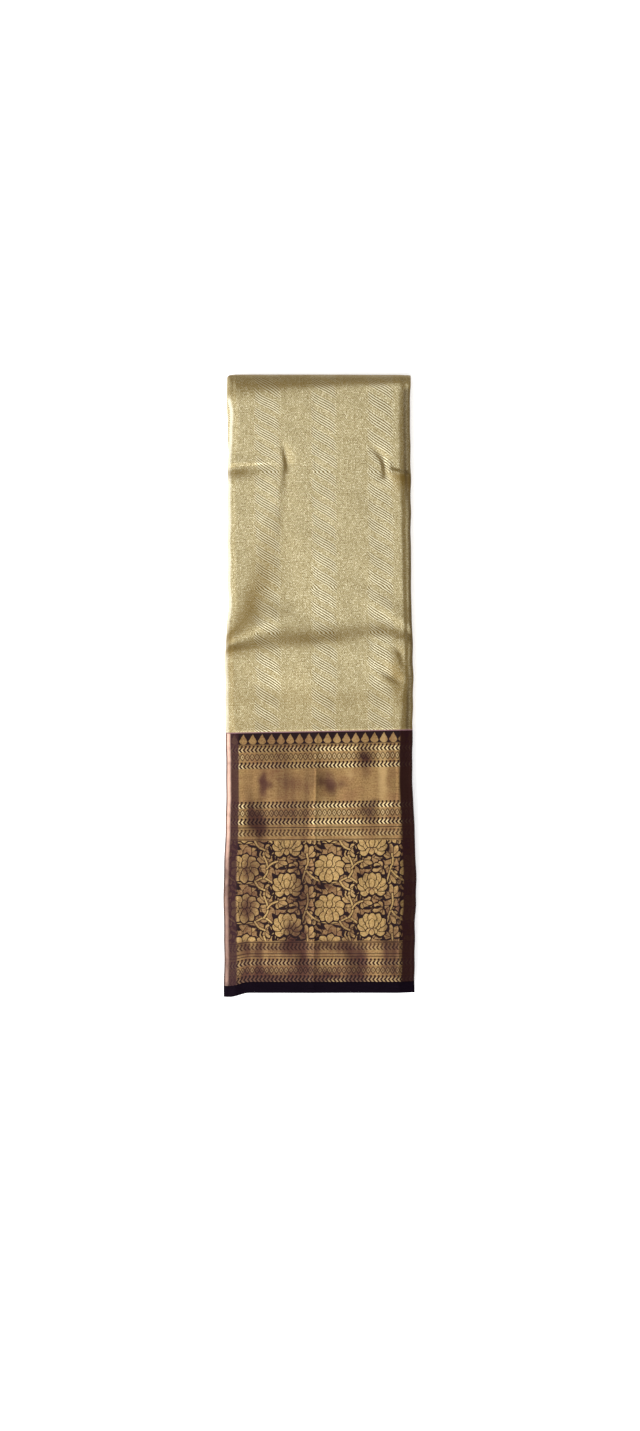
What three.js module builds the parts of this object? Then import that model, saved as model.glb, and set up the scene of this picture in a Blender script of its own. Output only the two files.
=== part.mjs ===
// A silk sari with a broad gold-thread border, folded flat as it is stored and sold.
//
// The cloth is folded five times along its length, which gives a pack of 32 layers one panel
// wide, and then once across its width, so that the pack bends round a fold at the top and
// both borders lie on each other at the bottom. Millimetres, +Z up. The pack rests on z = 0
// with its top fold towards +Y, its hems towards -Y and its thick folded side towards -X.
//
// A point of the pack is given by three values: x across it, a station along it, and a depth
// that runs from 0 on the face where its two halves meet to HALF on its outer face. Each piece
// is one closed outline in (x, depth), swept along the stations.

import * as THREE from 'three';

// ---- Driving sizes -------------------------------------------------------------------

const TOP = 303.6; // the top fold
const JOIN = -45.6; // where the border starts
const HEM = -288.1; // where the plain hem starts
const END = -299; // the hem's edge
const HALF = 12; // depth of one half of the pack, 32 layers
const CLOTH = 1.1; // wall that stands for the outer layer
const SEAM = 0.3; // gap between neighbouring pieces
const SLACK = 0.4; // gap between the outer layer and the layers under it
const MIDDLE_GAP = 0.4; // depth at which a half starts, so the halves lie this far from their middle

const FOLD_REACH = 12; // how far the top fold runs past the flat layers, at x = 0
const FOLD_TILT = 0.033; // the fold is slacker on the left, in millimetres for each one of x
const LEFT_TURN = 5; // how far the layers' turn reaches on the left
const RIGHT_TURN = 4; // the same on the right
const CROWN = 0.5; // the pack's face is this much lower towards its sides
const CORE_CROWN = 0.06; // the same on the hidden layers of the lower half

const CORNER_DROOP = 4.6; // the hem's left corner hangs this far out
const DROOP_FROM = { x: -68, y: -200 }; // where the droop starts
const DROOP_OVER = { x: 22, y: 88 }; // and over what distance it grows

// One row for each section along the pack: its sides on the upper half and on the lower half,
// the height of its face and of its middle, the sloping shoulders at both sides, and how sharply
// they are pressed, from 0 to 1.
const SECTIONS = [
  { y: 291.6, left: -91.2, right: 89.2, underLeft: -91.2, underRight: 89.2, top: 24.0, mid: 12.0,
    leftSlope: 4, leftDrop: 0.8, rightSlope: 7, rightDrop: 1.6, pressed: 0 },
  { y: 272, left: -87.6, right: 88.0, underLeft: -91.2, underRight: 88.3, top: 24.4, mid: 12.0,
    leftSlope: 5, leftDrop: 1.2, rightSlope: 8, rightDrop: 2.0, pressed: 0 },
  { y: 244, left: -88.2, right: 88.2, underLeft: -90.4, underRight: 88.0, top: 24.2, mid: 12.0,
    leftSlope: 5, leftDrop: 1.4, rightSlope: 8, rightDrop: 2.2, pressed: 0 },
  { y: 213, left: -89.8, right: 89.2, underLeft: -89.4, underRight: 88.6, top: 24.0, mid: 12.0,
    leftSlope: 4, leftDrop: 1.2, rightSlope: 8, rightDrop: 2.4, pressed: 0 },
  { y: 148, left: -90.2, right: 89.2, underLeft: -89.2, underRight: 88.4, top: 24.2, mid: 12.0,
    leftSlope: 4, leftDrop: 1.2, rightSlope: 8, rightDrop: 2.4, pressed: 0 },
  { y: 78, left: -89.2, right: 90.2, underLeft: -88.8, underRight: 89.2, top: 24.6, mid: 12.1,
    leftSlope: 4, leftDrop: 1.4, rightSlope: 8, rightDrop: 2.6, pressed: 0 },
  { y: 38, left: -92.2, right: 91.2, underLeft: -90.6, underRight: 90.0, top: 24.8, mid: 12.3,
    leftSlope: 5, leftDrop: 1.6, rightSlope: 8, rightDrop: 2.6, pressed: 0 },
  { y: 8, left: -92.2, right: 92.2, underLeft: -91.2, underRight: 90.8, top: 25.4, mid: 12.7,
    leftSlope: 5, leftDrop: 1.8, rightSlope: 8, rightDrop: 2.8, pressed: 0.2 },
  { y: -45.6, left: -92.0, right: 90.7, underLeft: -91.0, underRight: 89.6, top: 26.6, mid: 13.3,
    leftSlope: 9, leftDrop: 3.6, rightSlope: 8, rightDrop: 3.0, pressed: 0.8 },
  { y: -90, left: -91.2, right: 89.7, underLeft: -90.4, underRight: 88.8, top: 27.0, mid: 13.5,
    leftSlope: 8.5, leftDrop: 4.2, rightSlope: 8, rightDrop: 3.2, pressed: 1 },
  { y: -142, left: -92.2, right: 92.2, underLeft: -91.4, underRight: 91.0, top: 27.0, mid: 13.5,
    leftSlope: 8.5, leftDrop: 4.2, rightSlope: 10, rightDrop: 3.2, pressed: 1 },
  { y: -195, left: -94.1, right: 94.1, underLeft: -92.6, underRight: 92.4, top: 27.0, mid: 13.5,
    leftSlope: 8.5, leftDrop: 4.2, rightSlope: 11.5, rightDrop: 3.2, pressed: 1 },
  { y: -218, left: -94.1, right: 93.1, underLeft: -92.8, underRight: 92.0, top: 27.0, mid: 13.5,
    leftSlope: 8, leftDrop: 4.2, rightSlope: 11.5, rightDrop: 3.2, pressed: 1 },
  { y: -257, left: -93.1, right: 92.2, underLeft: -92.0, underRight: 91.2, top: 26.8, mid: 13.4,
    leftSlope: 6.5, leftDrop: 4.2, rightSlope: 11.5, rightDrop: 3.2, pressed: 1 },
  { y: -299, left: -94.1, right: 92.2, underLeft: -92.8, underRight: 91.4, top: 25.4, mid: 12.7,
    leftSlope: 6, leftDrop: 4.0, rightSlope: 11.5, rightDrop: 3.0, pressed: 1 },
];

// How far each stretch leans: y grows by lean x, so that the lines across the cloth are askew.
const LEANS = [
  { y: 291.6, lean: FOLD_TILT },
  { y: 235, lean: 0 },
  { y: -45.6, lean: 0.0187 },
  { y: -150, lean: 0.008 },
  { y: -299, lean: 0 },
];

// The main creases of the upper face: a ridge (rise above 0) or a trough along a line from one
// point to another, with its half width.
const CREASES = [
  { fromX: -92, fromY: 215, toX: -48, toY: 215, rise: 0.8, width: 6 }, // packing crease, upper lip
  { fromX: -92, fromY: 206, toX: -56, toY: 207, rise: -1.1, width: 6 }, // and its trough
  { fromX: -40, fromY: 214, toX: 66, toY: 214, rise: 0.5, width: 6 },
  { fromX: 68, fromY: 205, toX: 92, toY: 205, rise: -1.4, width: 9 },
  { fromX: -34, fromY: 232, toX: -34, toY: 192, rise: -0.9, width: 8 }, // upright dent
  { fromX: 52, fromY: 233, toX: 63, toY: 207, rise: -0.7, width: 9 }, // slanting dent
  { fromX: -88, fromY: 44, toX: -44, toY: 70, rise: 2.2, width: 15 }, // soft fold, left ridge
  { fromX: 44, fromY: 78, toX: 90, toY: 56, rise: 1.8, width: 14 }, // soft fold, right ridge
  { fromX: -89, fromY: 31, toX: -20, toY: 36, rise: -2.2, width: 10 }, // and the trough below it
  { fromX: -20, fromY: 36, toX: 40, toY: 48, rise: -1.7, width: 12 },
  { fromX: 72, fromY: 36, toX: 90, toY: 30, rise: -1.2, width: 8 },
  { fromX: -62, fromY: 140, toX: -60, toY: 70, rise: -0.8, width: 12 }, // shallow upright hollow
  { fromX: -55, fromY: -102, toX: -50, toY: -140, rise: -0.9, width: 12 }, // hollows of the border
  { fromX: 4, fromY: -92, toX: 16, toY: -112, rise: -0.8, width: 11 },
  { fromX: 42, fromY: -60, toX: 62, toY: -74, rise: -0.8, width: 11 },
  { fromX: -3, fromY: -50, toX: -6, toY: -296, rise: 0.5, width: 7 }, // centre fold line
];

// The edges of the bundles of layers on the right side, as shares of the side's depth.
const BUNDLES = [
  { outer: 1 / 2, inner: 1 / 4, inset: 1.2 },
  { outer: 1 / 4, inner: 1 / 8, inset: 0.6 },
  { outer: 1 / 8, inner: 0, inset: 1.8 },
];

// The leaves that show at the hem's edge on each half, one row for each bundle: its outer and
// inner depth as shares of the half, and how far short of the outer layer it ends.
const LEAVES = [
  { outer: 1, inner: 1 / 2, short: 1.2 },
  { outer: 1 / 2, inner: 1 / 4, short: 2.6 },
  { outer: 1 / 4, inner: 0, short: 1.6 },
];

// How closely the outlines are drawn, in segments.
const FACE_STEPS = { turn: 4, slope: 2, flat: 14 };
const FLAT_STEPS = { turn: 4, slope: 0, flat: 1 }; // the flat underside
const BUNDLE_STEPS = 3;
const LEAF_STEPS = 8;
const FOLD_STEPS = 8;

// Stretches of the upper face, with how many rows each is drawn in.
const BODY_ROWS = [
  { from: JOIN, to: 20, rows: 5 },
  { from: 20, to: 90, rows: 9 },
  { from: 90, to: 196, rows: 6 },
  { from: 196, to: 224, rows: 5 },
  { from: 224, to: TOP - FOLD_REACH, rows: 5 },
];
const BORDER_ROWS = [
  { from: HEM, to: -195, rows: 4 },
  { from: -195, to: JOIN - SEAM, rows: 9 },
];
const HEM_ROWS = [{ from: END, to: HEM - SEAM, rows: 1 }];
const UNDER_BODY_ROWS = [{ from: JOIN, to: TOP - FOLD_REACH - SEAM, rows: 6 }];
const UNDER_BORDER_ROWS = [
  { from: HEM, to: -195, rows: 2 },
  { from: -195, to: JOIN - SEAM, rows: 3 },
];

// ---- Looking up the tables -----------------------------------------------------------

const mix = (a, b, t) => a + (b - a) * t;
const clamp = (t) => Math.min(1, Math.max(0, t));
const ease = (t) => clamp(t) ** 2 * (3 - 2 * clamp(t));

// The row of a table at y, worked out between its two neighbours.
function rowAt(table, y) {
  const rows = [...table].sort((a, b) => a.y - b.y);
  const above = Math.min(rows.length - 1, Math.max(1, rows.findIndex((row) => row.y >= y)));
  const [low, high] = y > rows.at(-1).y ? rows.slice(-2) : [rows[above - 1], rows[above]];
  const t = clamp((y - low.y) / (high.y - low.y));
  return Object.fromEntries(Object.keys(low).map((key) => [key, mix(low[key], high[key], t)]));
}

// The section at y. Under is 0 on the upper half and 1 on the lower one, which lies flat.
function sectionAt(y, under) {
  const row = rowAt(SECTIONS, y);
  return {
    left: mix(row.left, row.underLeft, under),
    right: mix(row.right, row.underRight, under),
    leftSlope: row.leftSlope,
    rightSlope: row.rightSlope,
    leftDrop: row.leftDrop * (1 - under),
    rightDrop: row.rightDrop * (1 - under),
    pressed: row.pressed,
    crown: CROWN * (1 - under),
  };
}

function creaseHeight(x, y) {
  let height = 0;
  for (const crease of CREASES) {
    const alongX = crease.toX - crease.fromX;
    const alongY = crease.toY - crease.fromY;
    const share = ((x - crease.fromX) * alongX + (y - crease.fromY) * alongY) / (alongX ** 2 + alongY ** 2);
    const nearX = crease.fromX + alongX * clamp(share);
    const nearY = crease.fromY + alongY * clamp(share);
    height += crease.rise * Math.exp(-((x - nearX) ** 2 + (y - nearY) ** 2) / crease.width ** 2);
  }
  return height;
}

// ---- From (x, depth, station) to space -----------------------------------------------

// A station is a place along the pack: y on the upper or the lower half, and on the top fold
// the angle turned so far. Only the outer layer of the upper half hangs out at the hem's corner.
const upperStation = (y) => ({ y, angle: 0, under: 0, hangs: 1 });
const hiddenStation = (y) => ({ y, angle: 0, under: 0, hangs: 0 });
const lowerStation = (y) => ({ y, angle: Math.PI, under: 1, hangs: 0 });
const foldStation = (angle) => (
  { y: TOP - FOLD_REACH, angle, under: (1 - Math.cos(angle)) / 2, hangs: 0 }
);

function place(x, depth, station) {
  const row = rowAt(SECTIONS, station.y);
  const lean = rowAt(LEANS, station.y).lean * x;
  const cornerX = ease((DROOP_FROM.x - x) / DROOP_OVER.x);
  const cornerY = ease((DROOP_FROM.y - station.y) / DROOP_OVER.y);
  const droop = CORNER_DROOP * station.hangs * cornerX * cornerY;
  const upper = row.top + creaseHeight(x, station.y) - row.mid;
  const reach = FOLD_REACH - FOLD_TILT * x;
  const share = depth / HALF;
  return [
    x,
    station.y + lean - droop + share * reach * Math.sin(station.angle),
    row.mid + share * mix(upper, row.mid, station.under) * Math.cos(station.angle),
  ];
}

// ---- Outlines in (x, depth) ----------------------------------------------------------

// The depth of the outer face at x, with its crown and its two shoulders.
function faceDepth(section, x) {
  const fall = (slope, distance) => {
    const t = clamp(distance / slope);
    return 1 - mix(ease(t), t, section.pressed);
  };
  const left = section.left + LEFT_TURN;
  const right = section.right - RIGHT_TURN;
  const off = (x - (left + right) / 2) / ((right - left) / 2);
  return HALF - section.crown * off ** 2
    - section.leftDrop * fall(section.leftSlope, x - left)
    - section.rightDrop * fall(section.rightSlope, right - x);
}

// Evenly spaced values from a to b, both included.
const spread = (a, b, steps) => Array.from({ length: steps + 1 }, (_, i) => mix(a, b, i / steps));

// A half turn from the angle from to the angle to, flattened to the two radii.
function turnPath(centre, radii, from, to, steps) {
  return spread(from, to, steps).map((angle) => [
    centre[0] + radii[0] * Math.cos(angle),
    centre[1] + radii[1] * Math.sin(angle),
  ]);
}

// The outer layer of a half: round the left side, across the face, and round the first bundle
// on the right side.
function outerPath(section, steps) {
  const left = section.left + LEFT_TURN;
  const right = section.right - RIGHT_TURN;
  const leftHeight = faceDepth(section, left) - MIDDLE_GAP;
  const rightHeight = faceDepth(section, right) / 2;
  const across = [
    ...(steps.slope ? spread(left, left + section.leftSlope, steps.slope).slice(0, -1) : []),
    ...spread(
      left + (steps.slope ? section.leftSlope : 0),
      right - (steps.slope ? section.rightSlope : 0),
      steps.flat,
    ),
    ...(steps.slope ? spread(right - section.rightSlope, right, steps.slope).slice(1) : []),
  ];
  const leftCentre = [left, MIDDLE_GAP + leftHeight / 2];
  const rightCentre = [right, rightHeight * 1.5];
  return [
    ...turnPath(leftCentre, [LEFT_TURN, leftHeight / 2], 1.5 * Math.PI, 0.5 * Math.PI, steps.turn)
      .slice(0, -1),
    ...across.map((x) => [x, faceDepth(section, x)]),
    ...turnPath(rightCentre, [RIGHT_TURN, rightHeight / 2], 0.5 * Math.PI, -0.5 * Math.PI, steps.turn)
      .slice(1),
  ];
}

// The path moved inwards, to its right-hand side, with straight stretches kept parallel.
function insetPath(path, distance) {
  return path.map((point, i) => {
    const before = path[Math.max(0, i - 1)];
    const after = path[Math.min(path.length - 1, i + 1)];
    if (i === 0) return [point[0], point[1] + distance];
    if (i === path.length - 1) return [point[0], point[1] + distance];
    const first = Math.atan2(point[1] - before[1], point[0] - before[0]);
    const second = Math.atan2(after[1] - point[1], after[0] - point[0]);
    const bend = Math.atan2(Math.sin(second - first), Math.cos(second - first)) / 2;
    const heading = first + bend;
    const along = distance / Math.cos(bend);
    return [point[0] + along * Math.sin(heading), point[1] - along * Math.cos(heading)];
  });
}

// A wall of the outer layer.
function clothOutline(section, steps) {
  const outer = outerPath(section, steps);
  return [...outer, ...insetPath(outer, CLOTH).reverse()];
}

// A bundle's rounded edge on the right side, from its outer to its inner depth.
function bundleEdge(section, bundle, side) {
  const low = Math.max(MIDDLE_GAP, side * bundle.inner);
  const high = side * bundle.outer - (bundle.outer === 1 / 2 ? SEAM : 0);
  const radius = (high - low) / 2;
  const centre = [section.right - bundle.inset - radius, (high + low) / 2];
  return turnPath(centre, [radius, radius], 0.5 * Math.PI, -0.5 * Math.PI, BUNDLE_STEPS);
}

// The hidden layers of a half: under the outer layer, with the other bundles' edges showing.
function layersOutline(section) {
  const shaped = { ...section, crown: Math.max(section.crown, CORE_CROWN) };
  const inner = insetPath(outerPath(shaped, FACE_STEPS), CLOTH + SLACK);
  const side = faceDepth(shaped, section.right - RIGHT_TURN);
  const leftFoot = section.left + LEFT_TURN + SEAM;
  const rightFoot = section.right - RIGHT_TURN - SEAM;
  const turnEnd = inner.at(-1)[1];
  return [
    [leftFoot, MIDDLE_GAP],
    [leftFoot, inner[0][1]],
    ...inner,
    [rightFoot, turnEnd],
    [rightFoot, side / 2 - SEAM],
    ...BUNDLES.flatMap((bundle) => bundleEdge(section, bundle, side)),
  ];
}

// A leaf of the hem: one bundle that follows the face, rounded at both sides.
function leafOutline(section, leaf) {
  const low = (x) => MIDDLE_GAP + SEAM + leaf.inner * (faceDepth(section, x) - MIDDLE_GAP);
  const cover = leaf.outer === 1 ? CLOTH + SLACK : 0;
  const high = (x) => MIDDLE_GAP + leaf.outer * (faceDepth(section, x) - MIDDLE_GAP) - cover;
  const left = section.left + LEFT_TURN + SEAM;
  const right = section.right - RIGHT_TURN - SEAM;
  const end = (x, from, to) => {
    const radius = (high(x) - low(x)) / 2;
    return turnPath([x, low(x) + radius], [radius, radius], from, to, BUNDLE_STEPS).slice(1, -1);
  };
  const round = (high(left) - low(left)) / 2;
  const across = spread(left + round, right - round, LEAF_STEPS);
  return [
    ...end(across[0], 1.5 * Math.PI, 0.5 * Math.PI),
    ...across.map((x) => [x, high(x)]),
    ...end(across.at(-1), 0.5 * Math.PI, -0.5 * Math.PI),
    ...across.map((x) => [x, low(x)]).reverse(),
  ];
}

// ---- Solids --------------------------------------------------------------------------

const area = (outline, a, b, c) => {
  const [p, q, r] = [outline[a], outline[b], outline[c]];
  return (q[0] - p[0]) * (r[1] - p[1]) - (q[1] - p[1]) * (r[0] - p[0]);
};

// The triangles of a wall's end cap, in a strip between its outer and its inner points.
function wallCap(outline) {
  const last = outline.length - 1;
  return Array.from({ length: outline.length / 2 - 1 }, (_, i) => [
    [i, i + 1, last - i],
    [i + 1, last - i - 1, last - i],
  ]).flat();
}

// The triangles of any other end cap, all turned the way the outline runs.
function plainCap(outline) {
  const contour = outline.map(([x, depth]) => new THREE.Vector2(x, depth));
  const clockwise = THREE.ShapeUtils.isClockWise(contour);
  return THREE.ShapeUtils.triangulateShape(contour, [])
    .map(([a, b, c]) => ((area(outline, a, b, c) < 0) === clockwise ? [a, b, c] : [a, c, b]));
}

// Sweep an outline, worked out anew at each station, into one closed solid.
function sweep(stations, outlineAt, capOf) {
  const outlines = stations.map((station) => outlineAt(sectionAt(station.y, station.under)));
  const count = outlines[0].length;
  const points = outlines.flatMap((outline, j) => (
    outline.map(([x, depth]) => place(x, depth, stations[j]))
  ));
  const faces = [];
  for (let j = 0; j + 1 < stations.length; j += 1) {
    for (let i = 0; i < count; i += 1) {
      const [a, b] = [j * count + i, j * count + ((i + 1) % count)];
      faces.push([a, b, b + count], [a, b + count, a + count]);
    }
  }
  const last = (stations.length - 1) * count;
  capOf(outlines[0]).forEach(([a, b, c]) => faces.push([a, c, b]));
  capOf(outlines.at(-1)).forEach(([a, b, c]) => faces.push([last + a, last + b, last + c]));
  return closedGeometry(points, faces);
}

// A geometry with its faces pointing out.
function closedGeometry(points, faces) {
  const corner = (i) => new THREE.Vector3(...points[i]);
  const volume = faces.reduce((sum, [a, b, c]) => (
    sum + corner(a).dot(corner(b).cross(corner(c)))
  ), 0);
  const geometry = new THREE.BufferGeometry();
  geometry.setAttribute('position', new THREE.Float32BufferAttribute(points.flat(), 3));
  geometry.setIndex(faces.flatMap(([a, b, c]) => (volume > 0 ? [a, b, c] : [a, c, b])));
  geometry.computeVertexNormals();
  return geometry;
}

// The stations of a list of stretches, in rising y.
function stationsOf(stretches, stationAt) {
  const rows = stretches.flatMap(({ from, to, rows: steps }, i) => (
    spread(from, to, steps).slice(i ? 1 : 0)
  ));
  return rows.map(stationAt);
}

const foldStations = spread(0, Math.PI, FOLD_STEPS).slice(1).map(foldStation);

// ---- Materials -----------------------------------------------------------------------

const tissueSilk = { color: '#c1b38a', roughness: 0.45, metalness: 0.35 };
const goldBorder = { color: '#8f6f49', roughness: 0.4, metalness: 0.5 };
const plainHem = { color: '#241522', roughness: 0.6, metalness: 0 };

const pack = new THREE.Group();

function add(name, geometry, finish) {
  const mesh = new THREE.Mesh(geometry, new THREE.MeshStandardMaterial(finish));
  mesh.name = name;
  pack.add(mesh);
}

// ---- The pieces ----------------------------------------------------------------------

const wall = (stations, steps) => sweep(stations, (at) => clothOutline(at, steps), wallCap);
const layers = (stations) => sweep(stations, layersOutline, plainCap);

// The body cloth: its upper face with the top fold, and its underside.
const bodyFace = stationsOf(BODY_ROWS, upperStation);
const bodyUnder = stationsOf(UNDER_BODY_ROWS, lowerStation);
add('body_front', wall([...bodyFace, ...foldStations], FACE_STEPS), tissueSilk);
add('body_back', wall(bodyUnder, FLAT_STEPS), tissueSilk);

// The body's hidden layers bend round the top fold in one piece.
add('body_layers', layers([...bodyFace, ...foldStations, ...[...bodyUnder].reverse()]), tissueSilk);

// The borders and their hidden layers, on both halves.
const borderFace = stationsOf(BORDER_ROWS, upperStation);
const borderUnder = stationsOf(UNDER_BORDER_ROWS, lowerStation);
add('border_front', wall(borderFace, FACE_STEPS), goldBorder);
add('border_back', wall(borderUnder, FLAT_STEPS), goldBorder);
add('border_layers_front', layers(stationsOf(BORDER_ROWS, hiddenStation)), goldBorder);
add('border_layers_back', layers(borderUnder), goldBorder);

// The plain hems, and the leaves between them.
add('hem_front', wall(stationsOf(HEM_ROWS, upperStation), FACE_STEPS), plainHem);
add('hem_back', wall(stationsOf(HEM_ROWS, lowerStation), FLAT_STEPS), plainHem);
for (const [half, stationAt] of [['front', hiddenStation], ['back', lowerStation]]) {
  LEAVES.forEach((leaf, i) => {
    const rows = [{ from: END + leaf.short, to: HEM - SEAM, rows: 1 }];
    const outlineAt = (section) => leafOutline(section, leaf);
    add(`hem_leaf_${half}_${i + 1}`, sweep(stationsOf(rows, stationAt), outlineAt, plainCap), plainHem);
  });
}

export default pack;
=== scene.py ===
# %% [markdown]
# # A folded silk sari with a gold-thread border
#
# A sari is one length of cloth, about six metres by one metre twenty. For storage it is
# folded by halves along its length, five times, until it is one panel wide, and then doubled
# across its width. The pack lies on its back: the doubled end is at the top, and both
# borders lie on each other at the bottom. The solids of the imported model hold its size, and
# this script gives every piece its cloth.

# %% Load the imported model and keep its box
import math

import bpy
import numpy as np
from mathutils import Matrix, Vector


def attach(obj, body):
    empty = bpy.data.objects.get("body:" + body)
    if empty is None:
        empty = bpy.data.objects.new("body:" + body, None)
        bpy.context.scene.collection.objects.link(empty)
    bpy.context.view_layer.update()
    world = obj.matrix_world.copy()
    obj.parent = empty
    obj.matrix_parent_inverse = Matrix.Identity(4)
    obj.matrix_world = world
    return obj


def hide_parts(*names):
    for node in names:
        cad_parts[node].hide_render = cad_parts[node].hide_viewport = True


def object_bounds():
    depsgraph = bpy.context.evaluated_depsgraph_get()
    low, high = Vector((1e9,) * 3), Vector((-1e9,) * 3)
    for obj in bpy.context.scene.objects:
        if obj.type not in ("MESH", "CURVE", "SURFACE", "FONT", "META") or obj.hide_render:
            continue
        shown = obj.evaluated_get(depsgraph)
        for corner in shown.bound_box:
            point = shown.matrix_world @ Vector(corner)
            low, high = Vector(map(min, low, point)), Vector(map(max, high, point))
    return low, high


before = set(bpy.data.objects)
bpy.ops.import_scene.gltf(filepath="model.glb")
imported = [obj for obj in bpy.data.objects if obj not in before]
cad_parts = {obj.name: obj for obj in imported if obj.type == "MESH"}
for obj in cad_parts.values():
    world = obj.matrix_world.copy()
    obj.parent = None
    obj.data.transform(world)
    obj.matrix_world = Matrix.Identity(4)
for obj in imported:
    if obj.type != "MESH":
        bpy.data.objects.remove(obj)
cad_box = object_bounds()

MM = 0.001
print("nodes:", sorted(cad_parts))

# %% [markdown]
# ## The camera
#
# A flat garment is best seen from straight above, so the camera hangs over the pack and looks
# down. A long distance with a normal lens keeps the sides of the pack nearly upright in the
# view. The frame takes in a tall strip of floor round the pack.

# %% Hang the camera over the pack
FRAME_HEIGHT = 1388 * MM  # the strip of floor and cloth that the tall side of the view takes in
CAMERA_RISE = 2.0  # above the cloth's upper face
CAMERA_AT = (0.0, -29.6 * MM)
SENSOR = 36.0

camera_data = bpy.data.cameras.new("camera")
camera_data.sensor_width = SENSOR
camera_data.lens = SENSOR * CAMERA_RISE / FRAME_HEIGHT
camera = bpy.data.objects.new("camera", camera_data)
camera.location = (*CAMERA_AT, cad_box[1][2] + CAMERA_RISE)
bpy.context.scene.collection.objects.link(camera)
bpy.context.scene.camera = camera
print("lens", round(camera_data.lens, 1), "mm")

# %% [markdown]
# ## The pack's own measure
#
# Every piece of the pack is placed by three values: x across it, a station along it, and a
# depth that runs from 0 between its two halves to HALF on its outer face. The table of
# sections gives the two side edges, the height of the face and the sloping shoulders. Its
# rows are drawn into one another by a moving average, so that no edge shows a kink.

# %% Sizes along the pack, in metres
TOP = cad_box[1][1]  # the top fold
JOIN = -45.6 * MM  # where the border starts
HEM = -288.1 * MM  # where the plain hem starts
END = -299.0 * MM  # the hem's edge
HALF = 12.0 * MM  # depth of one half of the pack, 32 layers
GAP = 0.4 * MM  # each half keeps this far from the middle
FOLD_REACH = 18.0 * MM  # how far the top fold runs past the flat layers
FOLD_TILT = 0.075  # the fold is slacker on the left
LEFT_TURN = 5.0 * MM  # reach of the layers' turn on the left
RIGHT_TURN = 4.0 * MM  # and on the right
CROWN = 0.5 * MM  # the face stands this much higher along its middle
FOLD_Y = TOP - FOLD_REACH

COLUMNS = ("y", "left", "right", "under_left", "under_right", "top", "mid",
           "left_slope", "left_drop", "right_slope", "right_drop", "pressed")
SECTIONS = np.array([
    (-299.0, -94.1, 92.2, -92.8, 91.4, 25.4, 12.7, 6.0, 4.0, 11.5, 3.0, 1.0),
    (-257.0, -93.1, 92.2, -92.0, 91.2, 26.8, 13.4, 6.5, 4.2, 11.5, 3.2, 1.0),
    (-218.0, -94.1, 93.1, -92.8, 92.0, 27.0, 13.5, 8.0, 4.2, 11.5, 3.2, 1.0),
    (-195.0, -94.1, 94.1, -92.6, 92.4, 27.0, 13.5, 8.5, 4.2, 11.5, 3.2, 1.0),
    (-142.0, -92.2, 92.2, -91.4, 91.0, 27.0, 13.5, 8.5, 4.2, 10.0, 3.2, 1.0),
    (-90.0, -91.2, 89.7, -90.4, 88.8, 27.0, 13.5, 8.5, 4.2, 8.0, 3.2, 1.0),
    (-58.0, -91.8, 90.0, -90.8, 89.2, 26.8, 13.4, 8.5, 4.2, 8.0, 3.1, 0.9),
    (-45.6, -92.0, 90.2, -91.0, 89.4, 26.6, 13.3, 5.0, 2.0, 8.0, 3.0, 0.7),
    (-30.0, -92.1, 90.3, -91.1, 89.5, 26.2, 13.1, 3.2, 0.6, 8.0, 2.8, 0.3),
    (8.0, -92.2, 90.8, -91.2, 90.0, 25.4, 12.7, 3.2, 0.6, 5.0, 1.8, 0.2),
    (42.0, -92.3, 90.2, -90.8, 89.6, 24.8, 12.3, 3.2, 0.6, 4.5, 1.6, 0.0),
    (78.0, -89.4, 89.0, -88.8, 88.6, 24.2, 12.1, 3.0, 0.7, 4.5, 1.7, 0.0),
    (148.0, -90.2, 88.6, -89.2, 88.2, 24.2, 12.0, 3.0, 0.6, 5.5, 1.9, 0.0),
    (213.0, -89.8, 88.6, -89.4, 88.2, 24.0, 12.0, 3.0, 0.6, 8.0, 2.4, 0.0),
    (244.0, -88.2, 87.9, -90.4, 87.8, 24.2, 12.0, 3.0, 0.7, 8.0, 2.2, 0.0),
    (272.0, -87.6, 87.8, -91.2, 88.0, 24.4, 12.0, 3.0, 0.7, 8.0, 2.0, 0.0),
    (291.6, -91.2, 89.0, -91.2, 89.0, 24.0, 12.0, 4.0, 0.8, 7.0, 1.6, 0.0),
])
LEANS = np.array([  # y, and how much further up the rows lie for each metre to the right
    (-299.0, 0.0), (-150.0, 0.008), (-45.6, 0.0187), (235.0, 0.0), (FOLD_Y / MM, FOLD_TILT),
])
BLUR = 10  # the moving average's reach, in millimetres


def drawn_table(table):
    """Each column at every millimetre of y: straight between rows, then a moving average."""
    y = np.arange(table[0, 0] - 2, table[-1, 0] + 3)
    window = np.hanning(2 * BLUR + 1)
    window /= window.sum()
    drawn = [y]
    for column in table.T[1:]:
        padded = np.pad(np.interp(y, table[:, 0], column), BLUR, mode="edge")
        drawn.append(np.convolve(padded, window, mode="valid"))
    return np.array(drawn)


section_table = drawn_table(SECTIONS)
lean_table = drawn_table(LEANS)


def section(name, y):
    """One column of the sections at y, in metres, or bare where it is the share pressed."""
    found = np.interp(y / MM, section_table[0], section_table[COLUMNS.index(name)])
    return found * (1.0 if name == "pressed" else MM)


face_width = float(section("right", 0.0) - section("left", 0.0))
print("face is", round(face_width / MM, 1), "mm wide at its middle")

# %% [markdown]
# ## Creases and ripples
#
# Pressed cloth keeps the marks of its packing. Each crease is a ridge or trough along a line
# through a few points, a bell curve of the distance to it with its own width on each side,
# because a pressed crease drops sharply and comes back slowly. Its rise and widths change from
# point to point, and it fades out where its rise comes to nothing. The large ones are the
# packing crease near the top and the slack fold above the border. Between them the cloth is
# never quite flat, and a sum of a few long waves in all directions gives that restlessness.

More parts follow.
